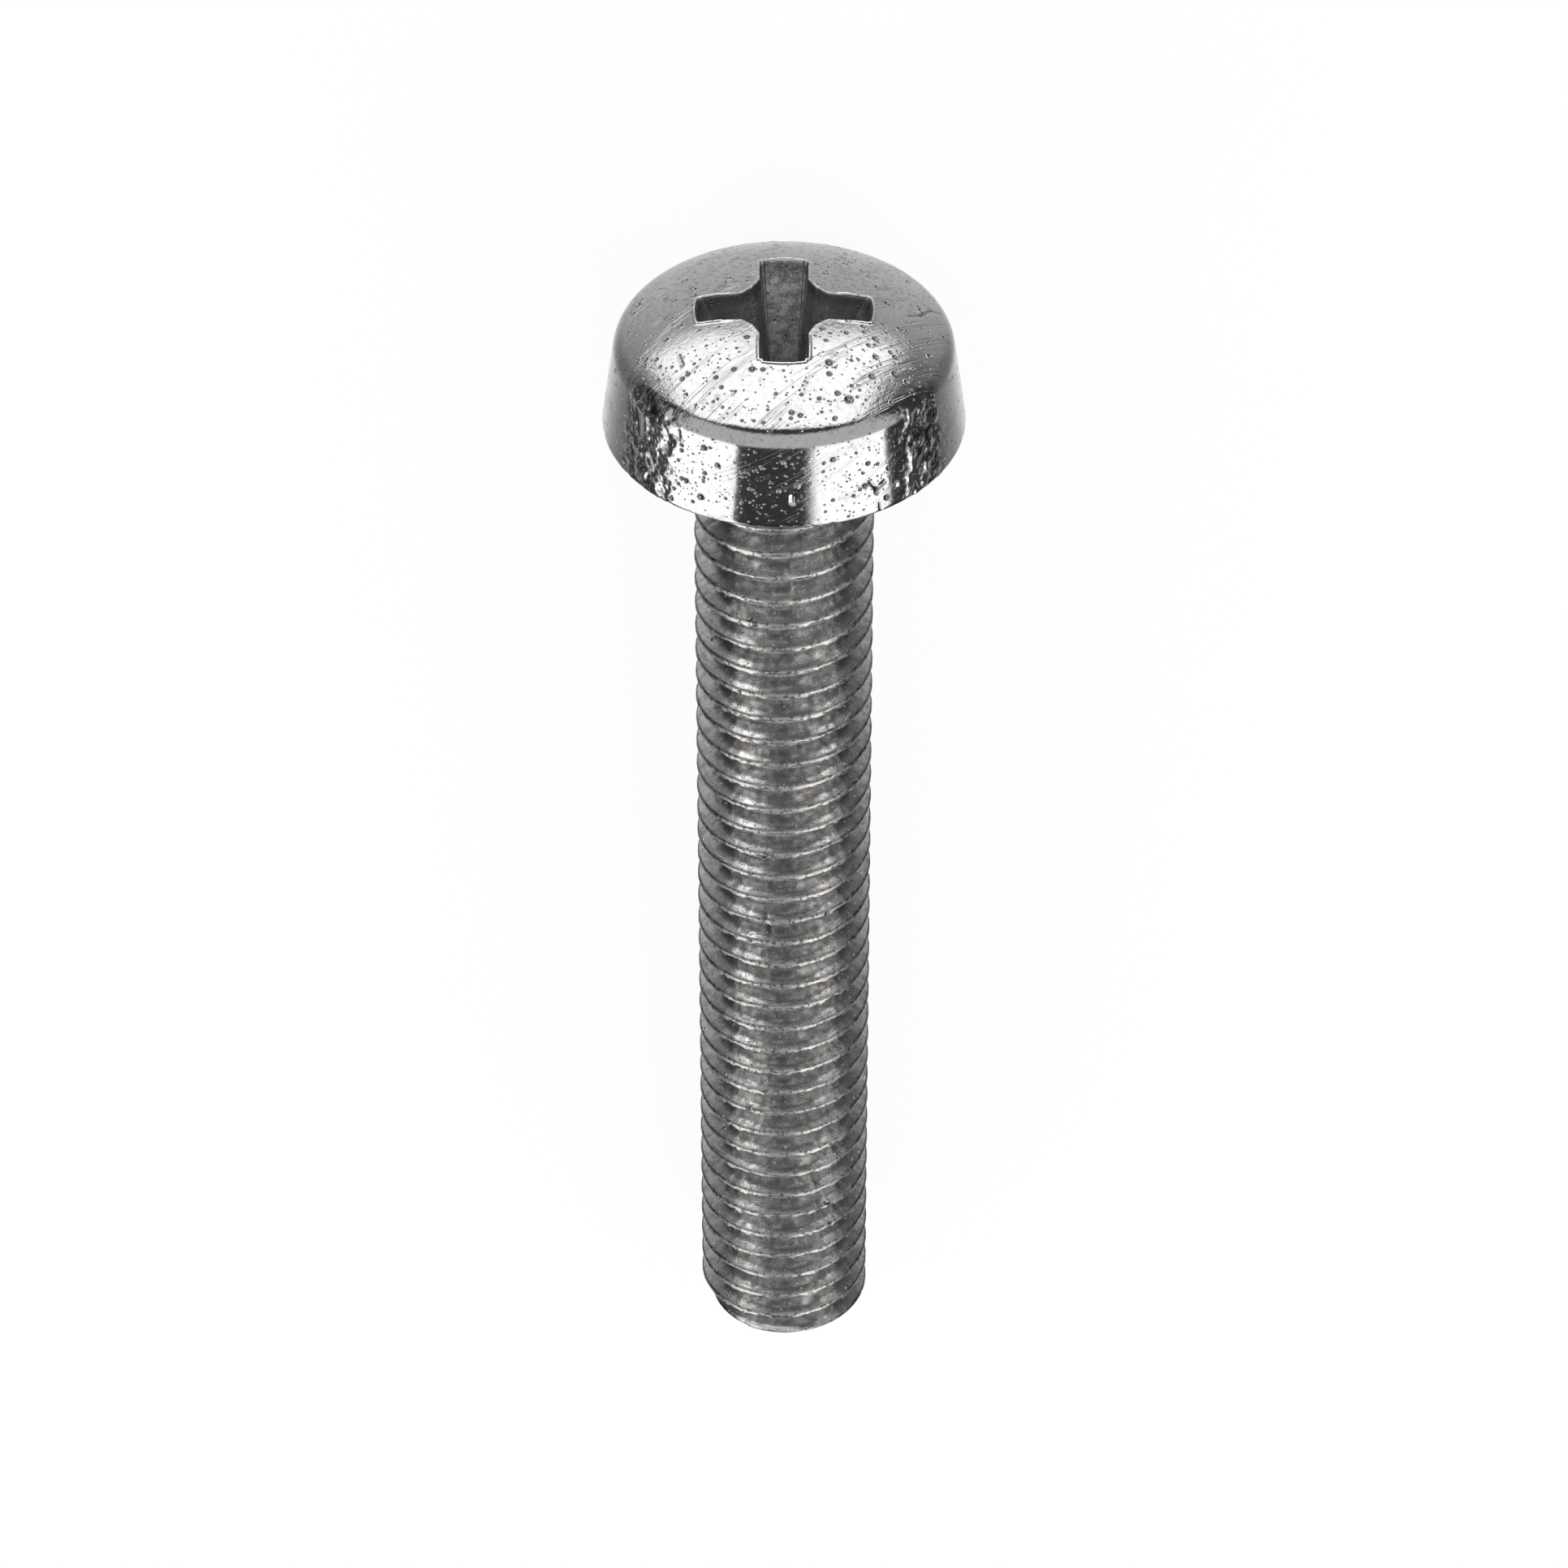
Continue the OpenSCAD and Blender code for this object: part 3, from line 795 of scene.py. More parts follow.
@dataclass
class ScrewHead:
    """The head with its cross recess, worn dome, side wall and neck."""

    sizes: ScrewSizes
    pose: ScrewPose
    name: str = "screw_head"
    end_columns: int = 18
    side_columns: int = 34
    web_columns: int = 18
    lip_high: float = 0.026
    dome_rows: int = 46
    wall_rows: int = 46
    seed: int = 11
    scattered: int = 900

    @property
    def octant(self) -> int:
        """Columns in an eighth of the head."""
        return self.end_columns + self.side_columns + self.web_columns

    def outline(self, z: np.ndarray, grow: float | np.ndarray) -> np.ndarray:
        """Gives the recess's outline.

        Args:
            z: Height of each column.
            grow: How far outside the recess's own outline it runs, for all or for each column.

        Returns:
            X and Y of each column.
        """
        s = self.sizes
        open_z = float(s.dome_height(np.array(s.wing_span / 2)))
        up = z - open_z
        half = s.wing_w / 2 + up * math.tan(math.radians(s.wing_side_lean)) + grow
        reach = s.wing_span / 2 + up * math.tan(math.radians(s.wing_end_lean)) + grow
        turn = math.radians(90 - s.web_angle / 2)
        web = s.web_r * math.cos(turn) + up * math.tan(math.radians(s.web_lean)) + grow
        n, total = self.octant, 8 * self.octant
        j = np.arange(total)
        k = j % (2 * n)
        p = np.where(k > n, 2 * n - k, k).astype(float)
        lean = math.radians(45) + turn
        edge = np.arcsin(np.clip(half / reach, -1, 1))
        a1 = np.clip(p / self.end_columns, 0, 1)
        end = np.stack([reach * np.cos(edge * a1), reach * np.sin(edge * a1)], 1)
        corner = np.stack([(web - half * math.sin(lean)) / math.cos(lean), half], 1)
        middle = np.stack([web / math.cos(turn) * math.sqrt(0.5)] * 2, 1)
        # Near the floor the end of a wing may lie inside its web corner.
        corner = np.where((corner[:, 0] > end[:, 0])[:, None], end, corner)
        a2 = np.clip((p - self.end_columns) / self.side_columns, 0, 1)[:, None]
        a3 = np.clip((p - self.end_columns - self.side_columns) / self.web_columns, 0, 1)[:, None]
        flat = end + (corner - end) * a2
        flat = flat + (middle - flat) * a3
        flat = np.where((k > n)[:, None], flat[:, ::-1], flat)
        a = np.radians(90) * (j // (2 * n))
        c, d = np.cos(a), np.sin(a)
        return np.stack([flat[:, 0] * c - flat[:, 1] * d, flat[:, 0] * d + flat[:, 1] * c], 1)

    def opening(self, grow: float | np.ndarray) -> np.ndarray:
        """Gives where the recess's outline meets the dome.

        Args:
            grow: How far outside the recess's own outline it runs.

        Returns:
            X, Y and Z of each column.
        """
        z = np.full(8 * self.octant, self.sizes.head_h)
        for _ in range(6):
            flat = self.outline(z, grow)
            z = self.sizes.dome_height(np.hypot(flat[:, 0], flat[:, 1]))
        return np.column_stack([flat, z])

    def lip_inset(self) -> np.ndarray:
        """Gives how far inside the recess's outline its raised lip ends, for each column."""
        s = self.sizes
        flat = self.outline(np.full(8 * self.octant, float(s.dome_height(np.array(s.wing_span / 2)))), 0.0)
        arms = 0.04 * smooth(np.abs(flat[:, 0]), 0.5, 0.7)
        ends = 0.058 * smooth(np.hypot(flat[:, 0], flat[:, 1]), 1.38, 1.45)
        return np.maximum(arms, ends)

    def recess_foot(self) -> np.ndarray:
        """Gives where the recess's sides meet its shallow conical floor.

        Returns:
            X, Y and Z of each column.
        """
        s = self.sizes
        open_z = float(s.dome_height(np.array(s.wing_span / 2)))
        low = open_z - s.recess_depth
        rim = s.wing_span / 2 - s.recess_depth * math.tan(math.radians(s.wing_end_lean))
        z = np.full(8 * self.octant, low)
        for _ in range(8):
            flat = self.outline(z, 0.0)
            z = low - s.floor_drop * np.clip(1 - np.hypot(flat[:, 0], flat[:, 1]) / rim, 0, 1)
        return np.column_stack([flat, z])

    def rings(self) -> tuple[list[np.ndarray], list[np.ndarray], list[int], list[np.ndarray]]:
        """Lays out the head's rings from the recess's floor to the neck's end.

        Returns:
            The rings, their outward normals, the material slot of the faces after each ring, and each ring's tone of
            painted highlight (above 0) or painted shade (below 0).
        """
        s = self.sizes
        total = 8 * self.octant
        turn = 2 * math.pi * np.arange(total) / total
        flat = np.stack([np.cos(turn), np.sin(turn)], 1)
        rings: list[np.ndarray] = []
        normals: list[np.ndarray] = []
        slots: list[int] = []
        edges: list[np.ndarray] = []

        def put(ring: np.ndarray, normal: np.ndarray | None, slot: int, edge: float | np.ndarray = 0.0) -> None:
            """Adds a ring, its normals, the slot of the faces after it and its tone of painted highlight or shade."""
            rings.append(ring)
            normals.append(np.zeros_like(ring) if normal is None else normal)
            slots.append(slot)
            edges.append(np.broadcast_to(np.asarray(edge, dtype=float), (total,)))

        foot = self.recess_foot()
        centre = np.array([0.0, 0.0, s.dome_height(np.array(s.wing_span / 2)) - s.recess_depth - s.floor_drop])
        for share in (0.15, 0.3, 0.45, 0.6, 0.75, 0.88):
            put(centre + (foot - centre) * share, None, 1)
        inset = self.lip_inset()
        top = self.opening(-inset)
        ragged = value_noise(top, 0.17, 13) + 0.6 * value_noise(top, 0.07, 14)
        low = top[:, 2] - 0.05
        # The top of the recess's walls, just under the lip, is painted darker: painted shade.
        for share in np.linspace(0, 1, 21):
            z = foot[:, 2] + (low - foot[:, 2]) * share
            put(np.column_stack([self.outline(z, -inset * share), z]), None, 1, -0.75 * float(smooth(np.array(share), 0.8, 1.0)))
        # Painted highlight along the recess's raised lip. It is strongest on the back half and at the wings' ends, and
        # weaker at the front and along the front-to-back wing.
        x, y = np.abs(top[:, 0]), top[:, 1]
        shine = np.where((x < 0.43) & (np.abs(y) < 1.4), 0.3, np.where(y > 0, 1.0, 0.35))
        shine = np.where(x > 1.36, 0.85, np.where(y < -1.36, 0.6, np.where(y > 1.36, 1.0, shine)))
        shine = shine * np.clip(0.85 + 0.4 * ragged, 0, 1.1)
        # The last number of each profile step scales the painted highlight.
        profile = ((0.0, -0.018, 0.1), (0.003, 0.25, 0.75), (0.012, 0.72, 1.0), (0.026, 1.0, 1.0), (0.043, 0.55, 0.8), (0.058, 0.12, 0.25))
        for out, high, bright in profile:
            ring = self.opening(out - inset)
            raised = self.lip_high * (1 + 0.25 * ragged) * smooth(np.hypot(ring[:, 0], ring[:, 1]), 0.85, 1.15)
            ring[:, 2] += high if high < 0 else high * raised
            put(ring, None, 0, bright * shine)
        brim = self.opening(0.072 - inset)
        rim_c = np.array([s.head_d / 2 - s.rim_r, s.rim_r])
        lean = math.radians(s.wall_lean)
        wall_n = np.array([math.cos(lean), math.sin(lean)])
        wall_d = np.array([-math.sin(lean), math.cos(lean)])
        dome_o = s.dome_centre
        from_o = rim_c + s.rim_r * wall_n - s.shoulder_r * wall_n - dome_o
        off = from_o @ wall_d
        run = -off + math.sqrt(off**2 - from_o @ from_o + (s.dome_r - s.shoulder_r) ** 2)
        shoulder_c = dome_o + from_o + run * wall_d
        edge_n = (shoulder_c - dome_o) / np.linalg.norm(shoulder_c - dome_o)
        edge = dome_o + s.dome_r * edge_n
        for share in np.linspace(0, 1, self.dome_rows) ** 1.08:
            ring = brim[:, :2] + (flat * edge[0] - brim[:, :2]) * share
            ring = np.column_stack([ring, s.dome_height(np.hypot(ring[:, 0], ring[:, 1]))])
            put(ring, s.dome_normal(ring), 0)
        first, last = math.atan2(edge_n[1], edge_n[0]), lean
        for share in np.linspace(0, 1, 18)[1:]:
            a = first + (last - first) * share
            n = np.array([math.cos(a), math.sin(a)])
            r, z = shoulder_c + s.shoulder_r * n
            put(np.column_stack([flat * r, np.full(total, z)]), np.column_stack([flat * n[0], np.full(total, n[1])]),
                2 if share > 0.6 else 0)
        wall_top, wall_foot = shoulder_c + s.shoulder_r * wall_n, rim_c + s.rim_r * wall_n
        for share in np.linspace(0, 1, self.wall_rows)[1:]:
            r, z = wall_top + (wall_foot - wall_top) * share
            put(np.column_stack([flat * r, np.full(total, z)]),
                np.column_stack([flat * wall_n[0], np.full(total, wall_n[1])]), 2)
        for a in np.radians([-15.0, -38.0, -62.0, -90.0]):
            n = np.array([math.cos(a), math.sin(a)])
            r, z = rim_c + s.rim_r * n
            put(np.column_stack([flat * r, np.full(total, z)]), np.column_stack([flat * n[0], np.full(total, n[1])]),
                2 if a > -1 else 3)
        neck = s.neck_d / 2
        under = [(r, 0.0) for r in (2.88, 2.6, 2.3, 2.0, 1.75, neck + s.neck_fillet)]
        under += [(neck + s.neck_fillet * (1 - math.sin(a)), s.neck_fillet * (math.cos(a) - 1))
                  for a in np.radians([18, 36, 54, 72, 90])]
        under += [(neck, 0.07 - s.neck_len), (neck - 0.07, -s.neck_len), (neck * 0.5, -s.neck_len)]
        for r, z in under:
            put(np.column_stack([flat * r, np.full(total, z)]), None, 3)
        return rings, normals, slots, edges

    def on_dome(self, x: float, y: float) -> tuple[float, float, float]:
        """Gives the upright place of a point of the dome, seen from above with the front below."""
        return (x, -y, float(self.sizes.dome_height(np.array(math.hypot(x, y)))))

    def on_wall(self, angle: float, z: float) -> tuple[float, float, float]:
        """Gives the upright place of a point of the side wall."""
        r = self.sizes.head_d / 2 - z * math.tan(math.radians(self.sizes.wall_lean))
        return (r * math.sin(math.radians(angle)), -r * math.cos(math.radians(angle)), z)

    def strokes(self) -> list[Mark]:
        """Gives the gouges and drops seen on the head."""
        found = [Mark(self.on_dome(x0, y0), self.on_dome(x1, y1), r, depth) for x0, y0, x1, y1, r, depth in DOME_STROKES]
        found += [Mark(self.on_wall(a0, z0), self.on_wall(a1, z1), r, depth, tone=tone)
                  for a0, z0, a1, z1, r, depth, tone in SIDE_STROKES]
        return found

    def pits(self) -> np.ndarray:
        """Gives the round pits: the seen ones, then scattered ones all round.

        Returns:
            X, Y, Z and radius, one row a pit.
        """
        found = [(*self.on_dome(x, y), r) for x, y, r in DOME_PITS]
        found += [(*self.on_wall(angle, z), r) for angle, z, r in SIDE_PITS]
        rng = np.random.default_rng(self.seed)
        for _ in range(self.scattered):
            small = 0.011 + 0.009 * rng.random()
            large = 0.02 + 0.032 * rng.random() ** 2
            if rng.random() < 0.55:
                away, angle = math.sqrt(rng.uniform(0.8**2, 2.62**2)), rng.uniform(-180, 180)
                place = self.on_dome(away * math.sin(math.radians(angle)), away * math.cos(math.radians(angle)))
            else:
                angle = rng.uniform(-180, 180)
                place = self.on_wall(angle, rng.uniform(0.08, 1.5))
            seen = abs(angle) < 60
            if seen or rng.random() < 0.6:
                found.append((*place, small))
            else:
                found.append((*place, large))
        return np.array(found)

    def corroded(self, points: np.ndarray) -> np.ndarray:
        """Gives how corroded the skin is, in patches round the side wall.

        Args:
            points: Upright coordinates, one row a point.

        Returns:
            A share from 0 to 1 at each point.
        """
        ragged = value_noise(points, 0.3, 15) + 0.7 * value_noise(points, 0.12, 16)
        angle = np.degrees(np.arctan2(points[:, 0], -points[:, 1])) + 3.5 * ragged
        z = points[:, 2] + 0.1 * ragged
        share = np.zeros(len(points))
        for middle, half, low, high, weight in RUST_PATCHES:
            away = np.abs((angle - middle + 180) % 360 - 180)
            inside = 1 - smooth(away, half * 0.75, half * 1.3)
            share = np.maximum(share, weight * inside * smooth(z, low - 0.15, low + 0.1) * (1 - smooth(z, high - 0.2, high)))
        return share

    def wear(self, points: np.ndarray) -> np.ndarray:
        """Gives all that time has done to the head's outside.

        Args:
            points: Upright coordinates, one row a point.

        Returns:
            The change along the surface's normal at each point.
        """
        change = 0.0016 * value_noise(points, 0.5, 1) + 0.0006 * value_noise(points, 0.17, 2)
        rough = 0.8 * value_noise(points * [1, 1, 0.6], 0.17, 5) + 0.3 * value_noise(points, 0.1, 6)
        change += 0.026 * self.corroded(points) * (rough - 0.5 * np.maximum(0, value_noise(points, 0.2, 7)))
        for mark in self.strokes():
            change += mark.height(points)
        low = 1 - smooth(points[:, 2], 0.02, 0.13)
        nick = np.maximum(0, value_noise(points, 0.11, 9) - 0.25)
        return change - low * 0.03 * nick

    def build(self) -> bpy.types.Object:
        """Builds the head.

        Returns:
            The piece.
        """
        rings, normals, slots, edges = self.rings()
        total, rows = 8 * self.octant, len(rings)
        points, normal = np.concatenate(rings), np.concatenate(normals)
        outer = np.flatnonzero(np.abs(normal).sum(axis=1) > 0)
        change = np.zeros(len(points))
        change[outer] = self.wear(points[outer])
        plain = np.vstack([points, [0, 0, 0], [0, 0, 0]])
        rust, edge = np.zeros(len(plain)), np.concatenate([*edges, [0.0, 0.0]])
        rust[outer] = self.corroded(points[outer])
        for mark in self.strokes():
            edge[outer] += mark.shade(points[outer])
        # Painted shade along the foot of the side wall and its rim, patchy where the rim is nicked.
        foot = 1 - smooth(points[outer][:, 2], 0.02, 0.07 + 0.04 * value_noise(points[outer], 0.13, 17))
        edge[outer] -= 1.1 * foot * smooth(value_noise(points[outer], 0.1, 9), -0.8, 0.0)
        points = points + normal * change[:, None]
        floor, end = len(points), len(points) + 1
        s = self.sizes
        open_z = float(s.dome_height(np.array(s.wing_span / 2)))
        points = np.vstack([points, [0, 0, open_z - s.recess_depth - s.floor_drop], [0, 0, -s.neck_len]])
        faces: list[tuple[int, ...]] = []
        slot: list[int] = []
        for i in range(rows - 1):
            a, b = i * total, (i + 1) * total
            faces += [(a + j, b + j, b + (j + 1) % total, a + (j + 1) % total) for j in range(total)]
            slot += [slots[i]] * total
        last = (rows - 1) * total
        faces += [(floor, j, (j + 1) % total) for j in range(total)]
        faces += [(end, last + (j + 1) % total, last + j) for j in range(total)]
        slot += [1] * total + [3] * total
        piece = lay_mesh(self.name, self.pose.to_world(points), faces, np.array(slot))
        paint(piece, "rust", rust)
        paint(piece, "edge", edge)
        paint_pits(piece, plain, self.pits(), 0.045)
        LOG.info("%s: %d faces", self.name, len(piece.data.polygons))
        return piece

    def dress(self, piece: bpy.types.Object, dresser: SteelDresser) -> None:
        """Puts the finishes on the head.

        Args:
            piece: The head.
            dresser: Builds the materials.
        """
        for finish in (DOME_FINISH, BORE_FINISH, SIDE_FINISH, UNDER_FINISH):
            piece.data.materials.append(dresser.dress(finish))


# Drops and gouges seen on the shank: angle from the front to the right, z, angle, z, radius, depth.
SHANK_MARKS = (
    (4.0, -2.08, 4.5, -2.3, 0.085, -0.05), (3.2, -2.62, 3.0, -2.7, 0.045, -0.03), (6.5, -2.5, 7.0, -2.5, 0.05, -0.03),
    (42.0, -1.2, 50.0, -1.62, 0.045, -0.03), (13.0, -1.18, 20.0, -1.3, 0.045, -0.02),
    (22.0, -15.8, 26.0, -16.9, 0.02, 0.02), (30.0, -16.6, 34.0, -17.2, 0.02, 0.02), (-12.0, -9.6, -14.0, -9.9, 0.05, 0.03),
)


@dataclass
class ThreadedShank:
    """The shank: one right-hand helix with worn, nicked crests."""

    sizes: ScrewSizes
    pose: ScrewPose
    name: str = "threaded_shank"
    columns: int = 172
    edge: float = 0.02
    seed: int = 23
    scattered: int = 500

    def profile(self) -> tuple[np.ndarray, np.ndarray, np.ndarray, np.ndarray]:
        """Lays out one pitch of the thread.

        Returns:
            The drop of each row below its crest's middle, its radius, how jagged it is, and its painted tone: painted
            shade below 0, painted light above.
        """
        s = self.sizes
        half, top = s.crest_w / 2, s.thread_d / 2
        flank = (s.pitch - s.crest_w - s.root_w) / 2
        slope = 1 / math.tan(math.radians(s.flank_lean))
        e = self.edge
        root = half + flank
        up = s.pitch - root
        # The last number of each row is painted light and shade: painted shade under each crest and in the root, a
        # painted light line high on the next flank, and a dark line at that crest's upper corner.
        rows = [
            (-half + 0.9 * e, top, 0.1, 0.0), (-0.2 * half, top, 0.15, 0.0), (0.45 * half, top, 0.35, 0.0),
            (half - 0.6 * e, top - 0.05 * e, 0.9, 0.0), (half + 0.12 * e, top - 0.75 * e, 1.0, 0.0),
            (half + 0.045, top - 0.045 * slope, 0.25, -1.0), (half + 0.6 * flank, top - 0.6 * flank * slope, 0.1, -0.6),
            (root, s.core_r + 0.006, 0.05, -0.9), (root + s.root_w / 2, s.core_r, 0.0, -1.0), (up, s.core_r + 0.006, 0.05, -0.75),
            (up + 0.16 * flank, s.core_r + 0.16 * flank * slope, 0.06, -0.2),
            (up + 0.45 * flank, s.core_r + 0.45 * flank * slope, 0.08, 0.0),
            (s.pitch - half - 1.1 * e, top - 1.1 * e * slope, 0.1, 0.3),
            (s.pitch - half - 0.05 * e, top - 0.5 * e, 0.12, -0.75),
        ]
        table = np.array(rows)
        return table[:, 0], table[:, 1], table[:, 2], table[:, 3]

    def string(self, index: np.ndarray, cell: float, seed: int) -> np.ndarray:
        """Gives smooth random heights along the helix.

        Args:
            index: Place along the helix, in columns.
            cell: Size of one lump, in columns.
            seed: Picks the pattern.

        Returns:
            One height from about -1 to 1 a place.
        """
        line = np.zeros((index.size, 3))
        line[:, 0] = index.ravel()
        return value_noise(line, cell, seed).reshape(index.shape)

    def build(self) -> bpy.types.Object:
        """Builds the shank.

        Returns:
            The piece.
        """
        s = self.sizes
        drop, radius, jag, line = self.profile()
        rows, cols = len(drop), self.columns
        tip = -s.shank_len
        turns = 2 + math.ceil((s.first_z - drop[-1] - tip) / s.pitch)
        levels = rows * turns
        q, i = np.meshgrid(np.arange(levels), np.arange(cols))
        turn_no = q // rows
        along = i - turn_no * cols
        z_raw = s.first_z + s.pitch * i / cols - s.pitch * turn_no - drop[q % rows]
        rag = jag[q % rows]
        worn = 0.55 * self.string(along, 3.1, 31) + 0.45 * self.string(along + 9000, 1.6, 32)
        worn += 0.5 * self.string(along, 17.0, 33)
        chip = np.maximum(0.0, self.string(along + 4000, 2.2, 34) - 0.35)
        r = radius[q % rows] - rag * (0.011 * np.maximum(0, worn + 0.25) + 0.028 * chip)
        z = z_raw + rag * (0.022 * worn + 0.034 * self.string(along + 7000, 1.3, 35))
        fine = self.string(along + 2000, 1.5, 36)
        # Nicks along the crest's edge are painted lighter, partly bare metal and partly painted glints. Chipped spots
        # are painted darker.
        nick = np.isin(q % rows, (3, 4)) * smooth(fine + 0.3 * worn, 0.1, 0.6)
        gone = np.isin(q % rows, (3, 4)) * smooth(-fine, 0.3, 0.7)
        edge = line[q % rows] * (0.75 + 0.25 * worn) + 0.85 * nick - 0.7 * gone
        grown = np.clip((-s.neck_len - 0.03 - z) / s.run_out, 0, 1)
        r = s.core_r + grown * (r - s.core_r)
        r = np.minimum(r, s.thread_d / 2 - s.tip_chamfer + np.maximum(0, z - tip))
        angle = 2 * math.pi * i / cols - math.pi / 2
        points = np.stack([r * np.cos(angle), r * np.sin(angle), z], -1).reshape(-1, 3)
        edge, plain = edge.ravel().copy(), points
        edge = np.where(points[:, 2] < tip + 0.7 * s.tip_chamfer, -0.6, edge)
        edge[points[:, 2] < tip - 0.05] = 0.0
        away = s.thread_d / 2 - 0.06
        shell = np.stack([away * np.cos(angle), away * np.sin(angle), z], -1).reshape(-1, 3)
        lumps = 0.0016 * value_noise(points, 0.2, 41) + 0.001 * value_noise(points, 0.1, 42)
        for a0, z0, a1, z1, size, depth in SHANK_MARKS:
            mark = Mark(self.on_shank(a0, z0), self.on_shank(a1, z1), size, depth, 0.0, 0.5 if depth < 0 else -0.7)
            lumps += mark.height(shell)
            edge += mark.shade(shell)
        r = r + lumps.reshape(r.shape)
        r = np.minimum(r, s.thread_d / 2 + 0.012)
        over_tip = np.maximum(0, tip - z)
        over_top = np.maximum(0, z - s.prism_top)
        end_r = s.thread_d / 2 - s.tip_chamfer - 0.02
        r = np.where(over_tip > 0, end_r * (1 - 0.9 * over_tip / over_tip.max()), r)
        r = np.where(over_top > 0, s.core_r - 0.02 - 1.2 * over_top, r)
        r = np.maximum(r, 0.12)
        z = np.clip(z, tip, s.prism_top)
        points = np.stack([r * np.cos(angle), r * np.sin(angle), z], -1).reshape(-1, 3)
        crown, toe = len(points), len(points) + 1
        points = np.vstack([points, [0.03, 0.02, s.prism_top], [0.0, 0.0, tip]])
        faces: list[tuple[int, ...]] = []
        for c in range(cols - 1):
            a, b = c * levels, (c + 1) * levels
            faces += [(a + k, b + k, b + k + 1, a + k + 1) for k in range(levels - 1)]
        a = (cols - 1) * levels
        faces += [(a + k, k - rows, k - rows + 1, a + k + 1) for k in range(rows, levels - 1)]
        top_loop = [c * levels for c in range(cols)] + [a + k for k in range(1, rows + 1)]
        tip_loop = list(range(levels - 1 - rows, levels)) + [c * levels + levels - 1 for c in range(1, cols)]
        faces += [(crown, top_loop[(n + 1) % len(top_loop)], top_loop[n]) for n in range(len(top_loop))]
        faces += [(toe, tip_loop[n], tip_loop[(n + 1) % len(tip_loop)]) for n in range(len(tip_loop))]
        piece = lay_mesh(self.name, self.pose.to_world(points), faces)
        rng = np.random.default_rng(self.seed)
        plain = np.vstack([plain, points[-2:]])
        chosen = plain[rng.integers(0, len(plain) - 2, self.scattered)]
        size = 0.014 + 0.034 * rng.random(self.scattered) ** 2.5
        paint(piece, "rust", np.zeros(len(plain)))
        paint(piece, "edge", np.append(edge, [0.0, 0.0]))
        paint_pits(piece, plain, np.column_stack([chosen, size]), 0.07)
        LOG.info("%s: %d faces", self.name, len(piece.data.polygons))
        return piece

    def on_shank(self, angle: float, z: float) -> tuple[float, float, float]:
        """Gives the upright place of a point near the thread's surface."""
        r = self.sizes.thread_d / 2 - 0.06
        return (r * math.sin(math.radians(angle)), -r * math.cos(math.radians(angle)), z)

    def dress(self, piece: bpy.types.Object, dresser: SteelDresser) -> None:
        """Puts the finish on the shank.

        Args:
            piece: The shank.
            dresser: Builds the materials.
        """
        piece.data.materials.append(dresser.dress(THREAD_FINISH))


@dataclass(frozen=True)
class LightPatch:
    """A soft light of the studio, as angles in degrees seen from the screw.

    The side angle is measured round the screw's axis, from straight up to the right; the end angle
    is measured from the plane across the axis towards the head.
    """

    name: str
    strength: float
    side: tuple[float, float, float, float]
    end: tuple[float, float, float, float]


PATCHES = (
    LightPatch("right_box", 3.1, (22.0, 65.0, 10.0, 3.0), (-62.0, -13.0, 8.0, 4.0)),
    LightPatch("left_box", 3.1, (-72.0, -30.5, 6.0, 1.5), (-62.0, -13.0, 8.0, 4.0)),
    LightPatch("overhead_card", 1.12, (-70.0, 70.0, 10.0, 10.0), (-8.0, 48.0, 13.0, 8.0)),
)


